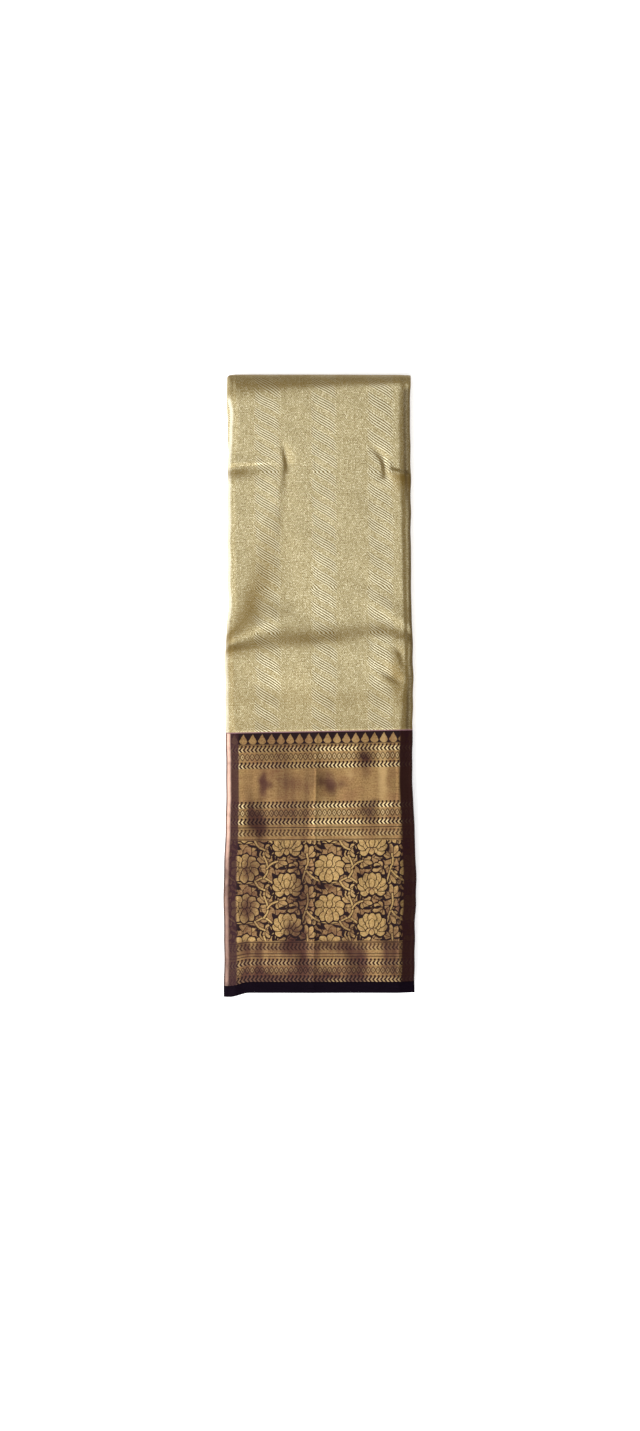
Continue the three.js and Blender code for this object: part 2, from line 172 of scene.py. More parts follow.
# %% Creases as bell curves along lines
CREASES = [  # each point: x, y, rise, width on the left of the line's way, width on its right
    # the packing crease: a sharp drop below its line and a slow return, and its lip above
    [(-94, 212, -1.9, 0.8, 8), (-80, 213.2, -1.7, 0.8, 9), (-66, 214, -0.9, 0.8, 9),
     (-52, 214.4, -0.2, 0.8, 6), (-38, 214, 0, 0.8, 5)],
    [(-92, 216, 0.3, 5, 2), (-66, 217.4, 0.25, 5, 2), (-48, 217, 0, 5, 2)],
    [(66, 210, 0, 1.4, 6), (71, 208.6, 1.1, 1.4, 9), (78, 206.4, 1.6, 1.6, 12), (94, 203.6, 1.7, 1.8, 14)],
    # the upright dent, with a long soft tail, and the slanting one with its lip
    [(-36.4, 236, 0, 3, 1.2), (-34.6, 227, -1.2, 5, 1.3), (-32.8, 215, -2.3, 6, 1.3),
     (-33.4, 206, -1.1, 7, 1.8), (-34.4, 184, -0.7, 9, 5), (-38, 124, -0.45, 12, 6), (-40, 84, 0, 12, 8)],
    [(48, 236, 0, 4, 1.8), (54.5, 227, -0.6, 5, 1.8), (60.6, 219.5, -1.2, 5, 1.6),
     (62.4, 213, -2.2, 4, 1.2), (62.4, 206.5, -1.8, 4, 1.2), (62, 200, 0, 5, 3)],
    [(66, 219, 0, 2.5, 2.5), (67.6, 212, 1.1, 2.2, 2.5), (68.4, 206, 0.9, 2.2, 2.5), (69, 200, 0, 2, 3)],
    # the slack fold: below it the cloth stands higher, and it rises there in one steep slope
    [(-94, 35, 2.0, 4.5, 40), (-84, 33.5, 2.8, 8, 44), (-60, 34, 2.5, 12, 46), (-36, 35.5, 2.5, 16, 46),
     (-12, 36, 2.7, 13, 46), (10, 39, 2.4, 13, 46), (30, 42.5, 1.9, 12, 44), (50, 46, 1.1, 10, 40),
     (68, 44.5, 1.3, 8, 40), (92, 37, 1.9, 6, 36)],
    # the ridge that runs up from its left end, and the swell on the right
    [(-94, 42.5, 0.8, 5, 2.5), (-84, 47, 1.7, 9, 4), (-64, 57, 1.9, 12, 5), (-46, 66, 1.2, 13, 8),
     (-26, 75, 0, 13, 12)],
    [(30, 92, 0, 12, 8), (52, 80, 0.5, 12, 8), (74, 66, 0.8, 11, 6), (92, 54, 0.9, 9, 4)],
    # the crumples by the right edge
    [(70, 40, 0, 3, 4), (78, 30, -0.9, 4, 2.2), (81, 18, -1.1, 4, 2), (82, 8, 0, 3, 2)],
    [(56, 18, 0, 6, 4), (64, 10, -0.7, 6, 3.5), (74, 4, -0.9, 5, 3), (84, -2, 0, 5, 3)],
    [(82, 56, 0, 3, 2), (87, 48, -0.8, 3, 2), (91, 42, 0, 3, 2)],
    [(60, 30, 0, 8, 6), (72, 22, 0.5, 8, 6), (90, 16, 0.4, 6, 6)],
    # shallow hollows of the face
    [(-66, 160, 0, 14, 12), (-63, 110, -0.8, 14, 12), (-60, 60, -0.3, 12, 10)],
    [(-24, 176, 0, 18, 18), (-6, 130, 0.5, 22, 18), (14, 90, 0, 18, 18)],
    [(52, 186, 0, 16, 12), (60, 140, -0.5, 18, 12), (64, 100, 0, 16, 12)],
    # hollows of the border, its centre line and the lines of its side folds
    [(-55, -88, 0, 8, 12), (-56, -108, -0.9, 9, 12), (-58, -132, -1.0, 9, 12), (-60, -148, 0, 9, 12)],
    [(4, -82, 0, 6, 12), (8, -98, -0.9, 7, 12), (12, -114, 0, 6, 12)],
    [(40, -58, 0, 9, 10), (50, -66, -0.8, 9, 10), (60, -76, 0, 9, 10)],
    [(-3, -47, 0.5, 7, 7), (-6, -298, 0.5, 7, 7)],
    [(-3.4, -47, 0.35, 1.6, 1.2), (-6.8, -298, 0.3, 1.6, 1.2)],
    [(-18, -246, 0, 9, 9), (-14, -262, -0.7, 9, 9), (-10, -278, 0, 9, 9)],
    [(26, -258, 0, 9, 9), (40, -270, -0.8, 10, 9), (54, -280, 0, 9, 9)],
    [(66, -150, 0, 5, 5), (67, -158, -0.5, 5, 5), (68, -168, 0, 5, 5)],
    [(43, -174, 0, 6, 5), (43.5, -184, -0.5, 6, 5), (44, -194, 0, 6, 5)],
    [(75.6, -50, 0.25, 1.6, 1.4), (77, -296, 0.25, 1.6, 1.4)],
    [(-79, -50, 0.2, 1.4, 1.6), (-80, -296, 0.2, 1.4, 1.6)],
]


def one_crease(x, y, line):
    """Rise times exp(-(distance / width of that side) squared), all taken at the nearest point."""
    line = np.array(line) * MM
    nearest = np.full(np.broadcast(x, y).shape, 9.0)
    height = np.zeros(nearest.shape)
    for start, stop in zip(line[:-1], line[1:]):
        way_x, way_y = stop[:2] - start[:2]
        share = ((x - start[0]) * way_x + (y - start[1]) * way_y) / (way_x ** 2 + way_y ** 2)
        share = np.clip(share, 0, 1)
        off_x, off_y = x - start[0] - share * way_x, y - start[1] - share * way_y
        rise, left, right = [start[k] + share * (stop[k] - start[k]) for k in (2, 3, 4)]
        away = np.hypot(off_x, off_y)
        width = np.where(way_x * off_y - way_y * off_x > 0, left, right)
        height = np.where(away < nearest, rise * np.exp(-(away / width) ** 2), height)
        nearest = np.minimum(nearest, away)
    return height


def crease_height(x, y):
    """All creases together."""
    return sum(one_crease(x, y, line) for line in CREASES)


def ripple(x, y, length, seed, waves=9):
    """A sum of sine waves of about one length in many directions, from -1 to 1 or so."""
    chance = np.random.default_rng(seed)
    total = np.zeros(np.broadcast(x, y).shape)
    for _ in range(waves):
        heading, phase = chance.uniform(0, 2 * np.pi, 2)
        pace = 2 * np.pi / (length * chance.uniform(0.7, 1.6))
        total += np.sin(pace * (x * np.cos(heading) + y * np.sin(heading)) + phase)
    return total / math.sqrt(waves)


def ease(t):
    """0 below 0, 1 above 1, and a smooth step 3t^2 - 2t^3 between."""
    t = np.clip(t, 0, 1)
    return t * t * (3 - 2 * t)


# %% [markdown]
# ## Where shade is painted on the body
#
# Tissue silk is two-coloured, silk and metal. In its creases, hollows and folds shade is painted
# on the body as a darker brown. That follows the creases but is wider and softer than they are,
# so it is given the same kind of lines, with a strength in place of a rise.

# %% Painted shade along lines
SHADES = [  # each point: x, y, strength, width on the left of the line's way, width on its right
    # the slanting pull, the packing crease on the left and on the right
    [(-46, 176, 0, 10, 8), (-51, 146, 0.34, 14, 10), (-57, 106, 0.8, 16, 11), (-68, 76, 0.95, 14, 11),
     (-79, 58, 0.9, 11, 8), (-90, 46, 0.8, 6, 5)],
    [(-94, 206, 0.85, 5, 6), (-80, 206.5, 0.8, 5, 7), (-62, 208, 0.3, 5, 8), (-48, 210, 0, 4, 6)],
    [(68, 208, 0, 2, 6), (74, 204.5, 0.85, 2, 8), (81, 202, 1.25, 3, 13), (95, 200, 1.25, 5, 20)],
    # below the slack fold, the right crumples, and two broad rolls under them
    [(-92, 35, 0.85, 4, 6), (-72, 37, 0.7, 6, 8), (-50, 41, 0.6, 10, 11), (-34, 45, 0.62, 9, 10),
     (-10, 44, 0.65, 8, 8), (20, 46, 0.5, 8, 8), (40, 50, 0.3, 8, 7), (66, 53, 0.5, 7, 6),
     (78, 48, 0.4, 5, 6), (88, 44, 0.25, 5, 5)],
    [(76, 48, 0, 8, 8), (76, 28, 0.5, 9, 9), (74, 8, 1.0, 11, 11), (78, -8, 0.6, 9, 9),
     (82, -24, 0.3, 6, 6)],
    [(-92, -12, 0.35, 10, 10), (-30, -13, 0.42, 11, 11), (20, -15, 0.42, 11, 11), (60, -14, 0.36, 10, 10),
     (84, -14, 0.2, 9, 9)],
    [(-96, -38, 0.4, 12, 14), (0, -38, 0.36, 12, 14), (84, -38, 0.3, 12, 14)],
    [(-92, 14, 0.25, 9, 14), (-30, 14, 0.14, 9, 14), (40, 14, 0, 9, 12)],
    [(-90, 64, 0, 5, 4), (-90, 54, 0.45, 5, 4), (-88, 12, 0.3, 6, 5), (-84, -8, 0.15, 5, 4),
     (-84, -44, 0.15, 5, 4)],
    # inside the upright dent and the slanting one, and the top left corner
    [(-36, 232, 0, 2, 2), (-34.6, 222, 0.35, 1.8, 1.6), (-33.6, 213, 0.5, 1.8, 1.6),
     (-34, 196, 0.15, 4, 4), (-37, 150, 0, 6, 6)],
    [(49, 233, 0, 3, 3), (55, 226, 0.25, 3, 2.5), (60, 220, 0.35, 2, 1.6), (61.8, 213, 0.6, 1.4, 1.2),
     (61.8, 205, 0.3, 1.4, 1.2), (61.8, 200, 0, 2, 2)],
    [(-106, 290, 0.9, 26, 4), (-91, 290, 0.8, 26, 4), (-84, 289.5, 0.5, 5, 5), (-50, 291, 0.35, 4, 5),
     (10, 293, 0.1, 4, 4)],
]


def painted_shade_amount(across, along):
    """All lines of painted shade together, over the cloth's own measure from the join up."""
    return sum(one_crease(across, along + JOIN, line) for line in SHADES) / MM


# %% [markdown]
# ## From the pack's measure to space
#
# On the upper half a station is a y. On the top fold it is an angle, and the layers turn about
# the line between the halves. On the lower half it is a y again, with the depth counted down
# to the floor. One function serves all three, so that every layer bends the same way.

# %% Place points by x, depth and station
DROOP = 4.6 * MM  # the hem's left corner hangs out
DROOP_ACROSS = (-68 * MM, 22 * MM)  # it starts at this x, and is full this much further on
DROOP_ALONG = (-200 * MM, 88 * MM)  # the same for y
SQUARE = 0.75  # how square the corners of the top fold are


def place(x, depth, y, angle=0.0, hangs=1.0):
    """Height is mid + depth share s times half height times cos(angle). y gains the reach times
    sin(angle) times SQUARE sqrt(2s), at most SQUARE, plus the rest of 1 times s."""
    under = (1 - np.cos(angle)) / 2
    mid = section("mid", y)
    restless = 0.20 * MM * ripple(x, y, 60 * MM, 3) + 0.06 * MM * ripple(x, y, 20 * MM, 4)
    border_only = ease((JOIN - y) / (8 * MM))
    restless = restless + 0.09 * MM * ripple(x, 0.2 * y, 16 * MM, 5) * border_only
    upper = section("top", y) + crease_height(x, y) + restless - mid
    share = depth / HALF
    lean = np.interp(y / MM, lean_table[0], lean_table[1]) * x
    corner = ease((DROOP_ACROSS[0] - x) / DROOP_ACROSS[1]) * ease((DROOP_ALONG[0] - y) / DROOP_ALONG[1])
    reach = FOLD_REACH - FOLD_TILT * x
    run = SQUARE * np.sqrt(np.clip(2 * share, 0, 1)) + (1 - SQUARE) * share
    y_out = y + lean - DROOP * hangs * corner + run * reach * np.sin(angle)
    z_out = mid + share * (upper * (1 - under) + mid * under) * np.cos(angle)
    return np.stack(np.broadcast_arrays(x, y_out, z_out), axis=-1)


# %% [markdown]
# ## The outer layer's path across the pack
#
# Across the pack the outer layer comes out between the halves on the left, turns over the side,
# crosses the face with a sloping shoulder at each side, and turns under the first bundle of
# layers on the right. In the body the shoulders are soft, and in the stiff border they are
# pressed to a sharp line.

# %% The side edges and the face between them
TUCK_LEFT = 6 * MM  # how far the outer layer runs back in under itself
TUCK_RIGHT = 4 * MM


def edges(y, under):
    """Left and right edges, drifting by a few tenths as hand-folded cloth does."""
    left = section("left", y) * (1 - under) + section("under_left", y) * under
    right = section("right", y) * (1 - under) + section("under_right", y) * under
    left = left + 0.25 * MM * ripple(y, 0 * y, 24 * MM, 11)
    right = right + 0.25 * MM * ripple(y, 0 * y, 20 * MM, 12)
    return left, right


def face_depth(x, y, under):
    """HALF, less a crown that grows with the square of x, less a fall at each shoulder."""
    left, right = edges(y, under)
    left, right = left + LEFT_TURN, right - RIGHT_TURN
    pressed = section("pressed", y)

    def fall(slope, distance):
        t = np.clip(distance / slope, 0, 1)
        return 1 - (ease(t) * (1 - pressed) + t * pressed)

    off = (x - (left + right) / 2) / ((right - left) / 2)
    upper = 1 - under
    return (HALF - CROWN * upper * off ** 2
            - section("left_drop", y) * upper * fall(section("left_slope", y), x - left)
            - section("right_drop", y) * upper * fall(section("right_slope", y), right - x))


# %% The path of the outer layer
def outer_path(y, under, steps, nest=0.0):
    """x and depth along the outer layer, one row for each station. nest is 0 on the outer layer
    and grows to 1 at the heart of the turn, for the layers inside it."""
    y, under = y[:, None], under[:, None]
    left, right = edges(y, under)
    left, right = left + LEFT_TURN, right - RIGHT_TURN
    left_slope, right_slope = section("left_slope", y), section("right_slope", y)
    side = face_depth(left, y, under) - GAP
    other = face_depth(right, y, under) / 2
    tuck, turn, slope, flat = steps
    keep = 1 - nest

    out = np.linspace(1, 0, tuck + 1)[None, :-1]
    xs = [left + TUCK_LEFT * out]
    depths = [GAP + side * nest / 2 + 0 * out * left]
    swing = np.linspace(1.5, 0.5, turn + 1)[None, :-1] * np.pi
    xs.append(left + LEFT_TURN * keep * np.cos(swing))
    depths.append(GAP + side / 2 + side / 2 * keep * np.sin(swing))

    t = np.linspace(0, 1, slope + 1)[None]
    u = np.linspace(0, 1, flat + 1)[None]
    across = np.concatenate([
        left + left_slope * t[:, :-1],
        (left + left_slope) * (1 - u) + (right - right_slope) * u,
        right - right_slope * (1 - t[:, 1:]),
    ], axis=1)
    xs.append(across)
    depths.append(GAP + (face_depth(across, y, under) - GAP) * (1 - nest / 2))
    swing = np.linspace(0.5, -0.5, turn + 1)[None, 1:] * np.pi
    xs.append(right + RIGHT_TURN * np.cos(swing))
    depths.append(other * 1.5 + other / 2 * np.sin(swing))
    xs.append(right - TUCK_RIGHT * np.linspace(0, 1, tuck + 1)[None, 1:])
    depths.append(other + 0 * xs[-1])
    return np.concatenate(xs, axis=1), np.concatenate(depths, axis=1)


# %% [markdown]
# ## From a grid of points to a mesh
#
# A grid becomes faces by counting, with no search. Each cloth also gets its own measure as a UV
# map, in metres across and along the weave, so that a woven pattern follows the cloth round
# every turn.

# %% Grids into meshes
def add_piece(name, points, faces, uv, values=None):
    """A mesh object at the origin, with a UV map called cloth and any named vertex values."""
    mesh = bpy.data.meshes.new(name)
    mesh.from_pydata(points.reshape(-1, 3), [], faces)
    layer = mesh.uv_layers.new(name="cloth")
    corners = np.zeros(len(mesh.loops), dtype=np.int32)
    mesh.loops.foreach_get("vertex_index", corners)
    layer.data.foreach_set("uv", uv.reshape(-1, 2)[corners].astype(np.float32).ravel())
    for key, value in (values or {}).items():
        mesh.attributes.new(key, "FLOAT", "POINT").data.foreach_set("value", value.ravel())
    mesh.shade_smooth()
    piece = bpy.data.objects.new(name, mesh)
    bpy.context.scene.collection.objects.link(piece)
    print(name, "faces", len(mesh.polygons))
    return piece


def grid_faces(rows, columns, start=0, closed=False):
    """Quads of a grid, each turned so that columns cross rows points out."""
    across = columns if closed else columns - 1
    r, c = np.meshgrid(np.arange(rows - 1), np.arange(across), indexing="ij")
    a = start + r * columns + c
    b = start + r * columns + (c + 1) % columns
    return np.stack([a, b, b + columns, a + columns], axis=-1).reshape(-1, 4)


def run_length(points, axis):
    """Distance along the rows or the columns of a grid, from its first point."""
    steps = np.linalg.norm(np.diff(points, axis=axis), axis=-1)
    pad = [(0, 0), (0, 0)]
    pad[axis] = (1, 0)
    return np.cumsum(np.pad(steps, pad), axis=axis)


def thicken(piece, thickness):
    """Give a sheet its thickness on its inner side."""
    solid = piece.modifiers.new("thickness", "SOLIDIFY")
    solid.thickness = thickness
    solid.offset = -1


# %% [markdown]
# ## The body cloth
#
# The body is one stretch of pale gold tissue silk: it starts at the border of the upper half,
# runs over the top fold, and ends at the border of the lower half. It is a single sheet, worked
# out as one grid from join to join, because the real cloth isn't cut at the fold either.

# %% A sheet of cloth over any stations
SILK = 0.4 * MM  # the thickness of one layer


def lean_for_shade(points):
    """How far a grid's unit normal leans to the top and the right: 0.85 of y plus 0.6 of x. The body's
    material paints shade where this is high.
    """
    normal = np.cross(np.gradient(points, axis=1), np.gradient(points, axis=0))
    normal /= np.maximum(np.linalg.norm(normal, axis=-1, keepdims=True), 1e-12)
    return 0.85 * normal[..., 1] + 0.6 * normal[..., 0]


def rim(x, y, under):
    """Millimetres from the pack's nearer side edge."""
    left, right = edges(y, under)
    return np.minimum(x - left, right - x) / MM


def no_marks(across, along):
    """Cloth with nothing kept on its points but its place."""
    return {}


def cloth_sheet(name, y, angle, steps, along=None, hangs=1.0, marks=no_marks):
    """The outer layer over the given stations. Its UV is the way across and the way along, which
    runs down from the join unless it is given."""
    angle = np.broadcast_to(angle, y.shape)
    along = JOIN - y if along is None else along
    under = (1 - np.cos(angle)) / 2
    x, depth = outer_path(y, under, steps)
    points = place(x, depth, y[:, None], angle[:, None], hangs)
    across = run_length(points, 1)
    middle = np.argmin(np.abs(x), axis=1)
    across -= across[np.arange(len(y)), middle][:, None]
    uv = np.stack([across, np.broadcast_to(along[:, None], across.shape)], axis=-1)
    extra = marks(uv[..., 0], uv[..., 1])
    extra["rim"] = rim(x, y[:, None], under[:, None])
    extra["away"] = lean_for_shade(points)
    return add_piece(name, points, grid_faces(*across.shape), uv, extra)


def stations(*stretches):
    """y values from one end to the other of each stretch, at about its step."""
    parts = []
    for start, stop, step in stretches:
        parts.append(np.linspace(start, stop, max(2, round(abs(stop - start) / step) + 1))[:-1])
    return np.append(np.concatenate(parts), stretches[-1][1])


# %% Weave the body
face_y = stations((JOIN, 0.0, 3 * MM), (0.0, 90 * MM, 1.6 * MM), (90 * MM, 190 * MM, 3 * MM),
                  (190 * MM, 209 * MM, 1.3 * MM), (209 * MM, 218 * MM, 0.6 * MM),
                  (218 * MM, 245 * MM, 1.5 * MM), (245 * MM, FOLD_Y, 2 * MM))
turned = np.linspace(0, np.pi, 29)[1:-1]
back_y = stations((FOLD_Y, JOIN, 6 * MM))
body_y = np.concatenate([face_y, np.full(len(turned), FOLD_Y), back_y])
body_angle = np.concatenate([0 * face_y, turned, np.full(len(back_y), np.pi)])
body_along = np.concatenate([face_y - JOIN, FOLD_Y - JOIN + turned * FOLD_REACH,
                             FOLD_Y - JOIN + np.pi * FOLD_REACH + FOLD_Y - back_y])
body_length = float(body_along[-1])
BODY_STEPS = (3, 14, 6, 90)  # points on the tuck, the turn, a shoulder and the flat


def body_marks(across, along):
    """How much shade is painted on the body at each point."""
    return {"painted_shade": painted_shade_amount(across, along)}


body = cloth_sheet("body_cloth", body_y, body_angle, BODY_STEPS, body_along, marks=body_marks)
thicken(body, SILK)
print("body cloth runs", round(body_length, 3), "m from join to join")

# %% [markdown]
# ## The vine of the border
#
# The broad band of the border shows a creeper with open flowers and crowded leaves, in gold on a
# dark ground. The weaver draws it once and repeats it. Here one repeat is a list of petals and
# leaves. Each is a pointed oval, and its field is how deep a point lies inside it. A new shape
# first cuts a thin dark line round itself and then adds its own gold, as overlapping petals
# do in a drawing. Two values are kept on the border's points: the field, and how bright the
# shape is woven.

# %% Fields of petals and stems
REPEAT = (82.5, 39.0)  # one repeat, across and along, in millimetres
BAND = (105.2, 202.7)  # where the vine starts and ends below the join


class Drawing:
    """Gold and tone of the points as shapes are laid over each other."""

    def __init__(self, across, along):
        self.across, self.along = across, along
        self.gold = np.full(across.shape, -1.0)
        self.tone = np.full(across.shape, 0.3)

    def local(self, at, heading):
        """Way along and aside of a heading from a point, to its nearest copy."""
        dx = (self.across - at[0] + REPEAT[0] / 2) % REPEAT[0] - REPEAT[0] / 2
        dy = (self.along - at[1] + REPEAT[1] / 2) % REPEAT[1] - REPEAT[1] / 2
        return dx * np.cos(heading) + dy * np.sin(heading), dy * np.cos(heading) - dx * np.sin(heading)

    def petal(self, at, heading, length, width, belly=0.6, bend=0.0):
        """Half width w sin(pi s^q)^0.7 at share s of the length, less the distance aside. A bend
        moves the middle line aside by bend s (1 - s)."""
        p, q = self.local(at, heading)
        share = np.clip(p / length, 0, 1)
        q = q - bend * share * (1 - share)
        half = width / 2 * np.sin(np.pi * share ** (math.log(0.5) / math.log(belly))) ** 0.7
        return (half - np.abs(q)) * 0.9 - np.maximum(0, np.maximum(-p, p - length)), share

    def lay(self, shape, share, tone, line):
        """Cut a dark line round a shape, then add its gold, duller at its root."""
        self.gold = np.maximum(np.minimum(self.gold, -shape - line), shape)
        self.tone = np.where(shape > -line / 2, tone * (0.4 + 0.6 * share), self.tone)

    def cluster(self, petals, halo, line):
        """Petals over each other with thin lines between, and a wide dark line round them all. Each
        is tone, point, heading in degrees, length, width and belly."""
        shapes = [(*self.petal(at, math.radians(heading), *rest), tone)
                  for tone, at, heading, *rest in petals]
        whole = np.maximum.reduce([shape for shape, _, _ in shapes])
        self.gold = np.minimum(self.gold, -whole - halo)
        for shape, share, tone in shapes:
            self.lay(shape, share, tone, line)

    def stem(self, points, width, tone, line):
        """Half width less the distance to a curve through the points. The curve is the usual cubic
        whose slope at each point is that from the one before to the one after."""
        knots = np.array([points[0], *points, points[-1]], dtype=float)
        before, start, stop, after = knots[:-3, None], knots[1:-2, None], knots[2:-1, None], knots[3:, None]
        t = np.linspace(0, 1, 5)[None, :-1, None]
        curve = (start + t * (stop - before) / 2 + t ** 2 * (before - 2.5 * start + 2 * stop - after / 2)
                 + t ** 3 * (-before + 3 * start - 3 * stop + after) / 2)
        points = [*curve.reshape(-1, 2), knots[-1]]
        nearest = np.full(self.across.shape, 99.0)
        for (x0, y0), (x1, y1) in zip(points[:-1], points[1:]):
            middle = ((x0 + x1) / 2, (y0 + y1) / 2)
            p, q = self.local(middle, math.atan2(y1 - y0, x1 - x0))
            past = np.maximum(0, np.abs(p) - math.hypot(x1 - x0, y1 - y0) / 2)
            nearest = np.minimum(nearest, np.hypot(past, q))
        self.lay(width / 2 - nearest, 1.0, tone, line)


# %% [markdown]
# ## Flowers, leaves and their layout
#
# Long bent leaves fill the ground first, so that little of it stays dark. Sprays, gaps and
# stems come over them, and the two flowers last.

# %% Flowers and leaves
def ground_leaves(drawing, columns, rows, seed):
    """Long bent leaves on a shaken grid, laid over each other as they come."""
    chance = np.random.default_rng(seed)
    for k in chance.permutation(columns * rows):
        column = k % columns + 0.5 * (k // columns % 2)
        at = (column * REPEAT[0] / columns + chance.normal(0, 1.2),
              (k // columns + 0.5) * REPEAT[1] / rows + chance.normal(0, 1.0))
        side = 1 if k % 2 else -1
        swing = 0.5 * math.sin(2 * math.pi * at[0] / REPEAT[0])
        heading = -1.2 + side * 0.9 + swing + chance.normal(0, 0.3)
        length = 17.0 + chance.normal(0, 1.5)
        root = (at[0] - length / 2 * math.cos(heading), at[1] - length / 2 * math.sin(heading))
        shape, share = drawing.petal(root, heading, length, 7.6, 0.6, side * 7.0)
        drawing.lay(shape, share, 0.35 + 0.4 * chance.random(), 0.85)


def open_flower(drawing, x, y):
    """Broad petals all round, the lower ones longest, then an upright inner cup."""
    outer = []
    for heading in (-80, -44, -128, -10, -164, 27, 152, 60, 119, 91):
        turn = math.radians(heading)
        root = (x + 2.8 * math.cos(turn), y - 0.5 + 2.0 * math.sin(turn))
        outer.append((1.0, root, heading, 12.2 + 1.2 * math.sin(turn), 7.6, 0.64))
    inner = [(1.2, (x, y + 2.0), heading, length, 5.0, 0.62)
             for heading, length in ((-20, 7.5), (-160, 7.5), (-55, 8.5), (-125, 8.5), (-90, 9.0))]
    cup = [(1.05, (x, y + 1.0), heading, 6.0, 4.6, 0.62) for heading in (30, 150, 90)]
    drawing.cluster(outer + inner + cup, 2.3, 0.95)


def side_flower(drawing, x, y):
    """A flower from the side: a fan of petals upwards from its foot, and two that droop."""
    fan = [(1.0, (x, y + 5), heading, length, 7.8, 0.68)
           for heading, length in ((160, 12), (15, 13), (-165, 14.5), (-12, 15.5), (-140, 16),
                                   (-36, 16.5), (-112, 16.5), (-64, 17), (-88, 16))]
    heart = [(1.2, (x, y + 5.5), heading, length, 5.0, 0.64)
             for heading, length in ((-150, 9), (-30, 9.5), (-118, 10), (-60, 10.5), (-90, 11))]
    foot = [(0.9, (x, y + 4), heading, 6.5, 4.6, 0.6) for heading in (140, 40, 90)]
    drawing.cluster(fan + heart + foot, 2.3, 0.95)


def spray(drawing, x, y, heading, size):
    """A fan of five leaves from one point."""
    fan = ((-1.3, 0.75), (1.3, 0.75), (-0.65, 0.95), (0.65, 0.95), (0.0, 1.05))
    leaves = [(0.75, (x, y), heading + math.degrees(turn), size * share, size * 0.4, 0.64)
              for turn, share in fan]
    drawing.cluster(leaves, 1.8, 0.85)


# %% One repeat of the vine
STEMS = [  # points across and along
    [(-14, 28), (-9, 34), (-1, 39), (9, 41), (19, 39.5), (28, 36), (36, 41), (44, 48), (53, 51), (62, 47),
     (68.5, 28)],
    [(28, 36), (31.5, 30), (31, 23), (28, 15)],
    [(31.2, 27), (35, 22.5), (41, 20)],
    [(68.5, 28), (70.5, 21), (70, 13)],
    [(19, 39.5), (23, 45), (29, 48)],
]
SPRAYS = [  # across, along, heading in degrees, size
    (30.5, 21.5, -80, 13.5), (70, 16.0, -100, 12.5), (41, 20, 15, 9.5), (61, 27, 165, 10.0),
    (29, 48, 20, 9.0), (-6, 36.5, 160, 8.5), (68, 33, 60, 10.0),
]
GAPS = [  # dark leaves where the ground shows: across, along, heading in degrees, length, width
    (21.5, 30, 30, 8.8, 3.8), (36, 31, 60, 8.1, 3.8), (43, 26, 10, 7.5, 3.5), (52, 27, -15, 7.5, 3.2),
    (64, 33, 70, 8.8, 3.8), (77, 22, -60, 8.1, 3.5), (33, 14, -50, 7.5, 3.2), (12, 43.5, 10, 10.0, 2.7),
    (78, 9, 30, 7.5, 3.2), (58, 33, 20, 7.5, 2.4), (-4, 42, 40, 8.8, 3.5), (24, 8, 110, 7.5, 3.2),
    (38, 13, 100, 7.5, 3.2), (60, 14, 60, 7.5, 3.2), (66, 3, 90, 8.8, 3.5), (2, 43, -30, 7.5, 2.7),
    (33, 44, 80, 7.5, 3.2), (82, 33, 60, 7.5, 3.2),
]


def draw_vine(across, along):
    """The whole vine over points of the cloth, in the order in which its shapes overlap."""
    drawing = Drawing(across / MM, along / MM - BAND[0])
    ground_leaves(drawing, 9, 5, seed=5)
    for place_and_size in SPRAYS:
        spray(drawing, *place_and_size)
    for x, y, heading, length, width in GAPS:
        shape, _ = drawing.petal((x, y), math.radians(heading), length, width, 0.5)
        drawing.gold = np.minimum(drawing.gold, -shape)
    for points in STEMS:
        drawing.stem(points, 1.4, 1.1, 0.9)
    open_flower(drawing, 9.0, 26.0)
    side_flower(drawing, 50.3, 3.6)
    return drawing
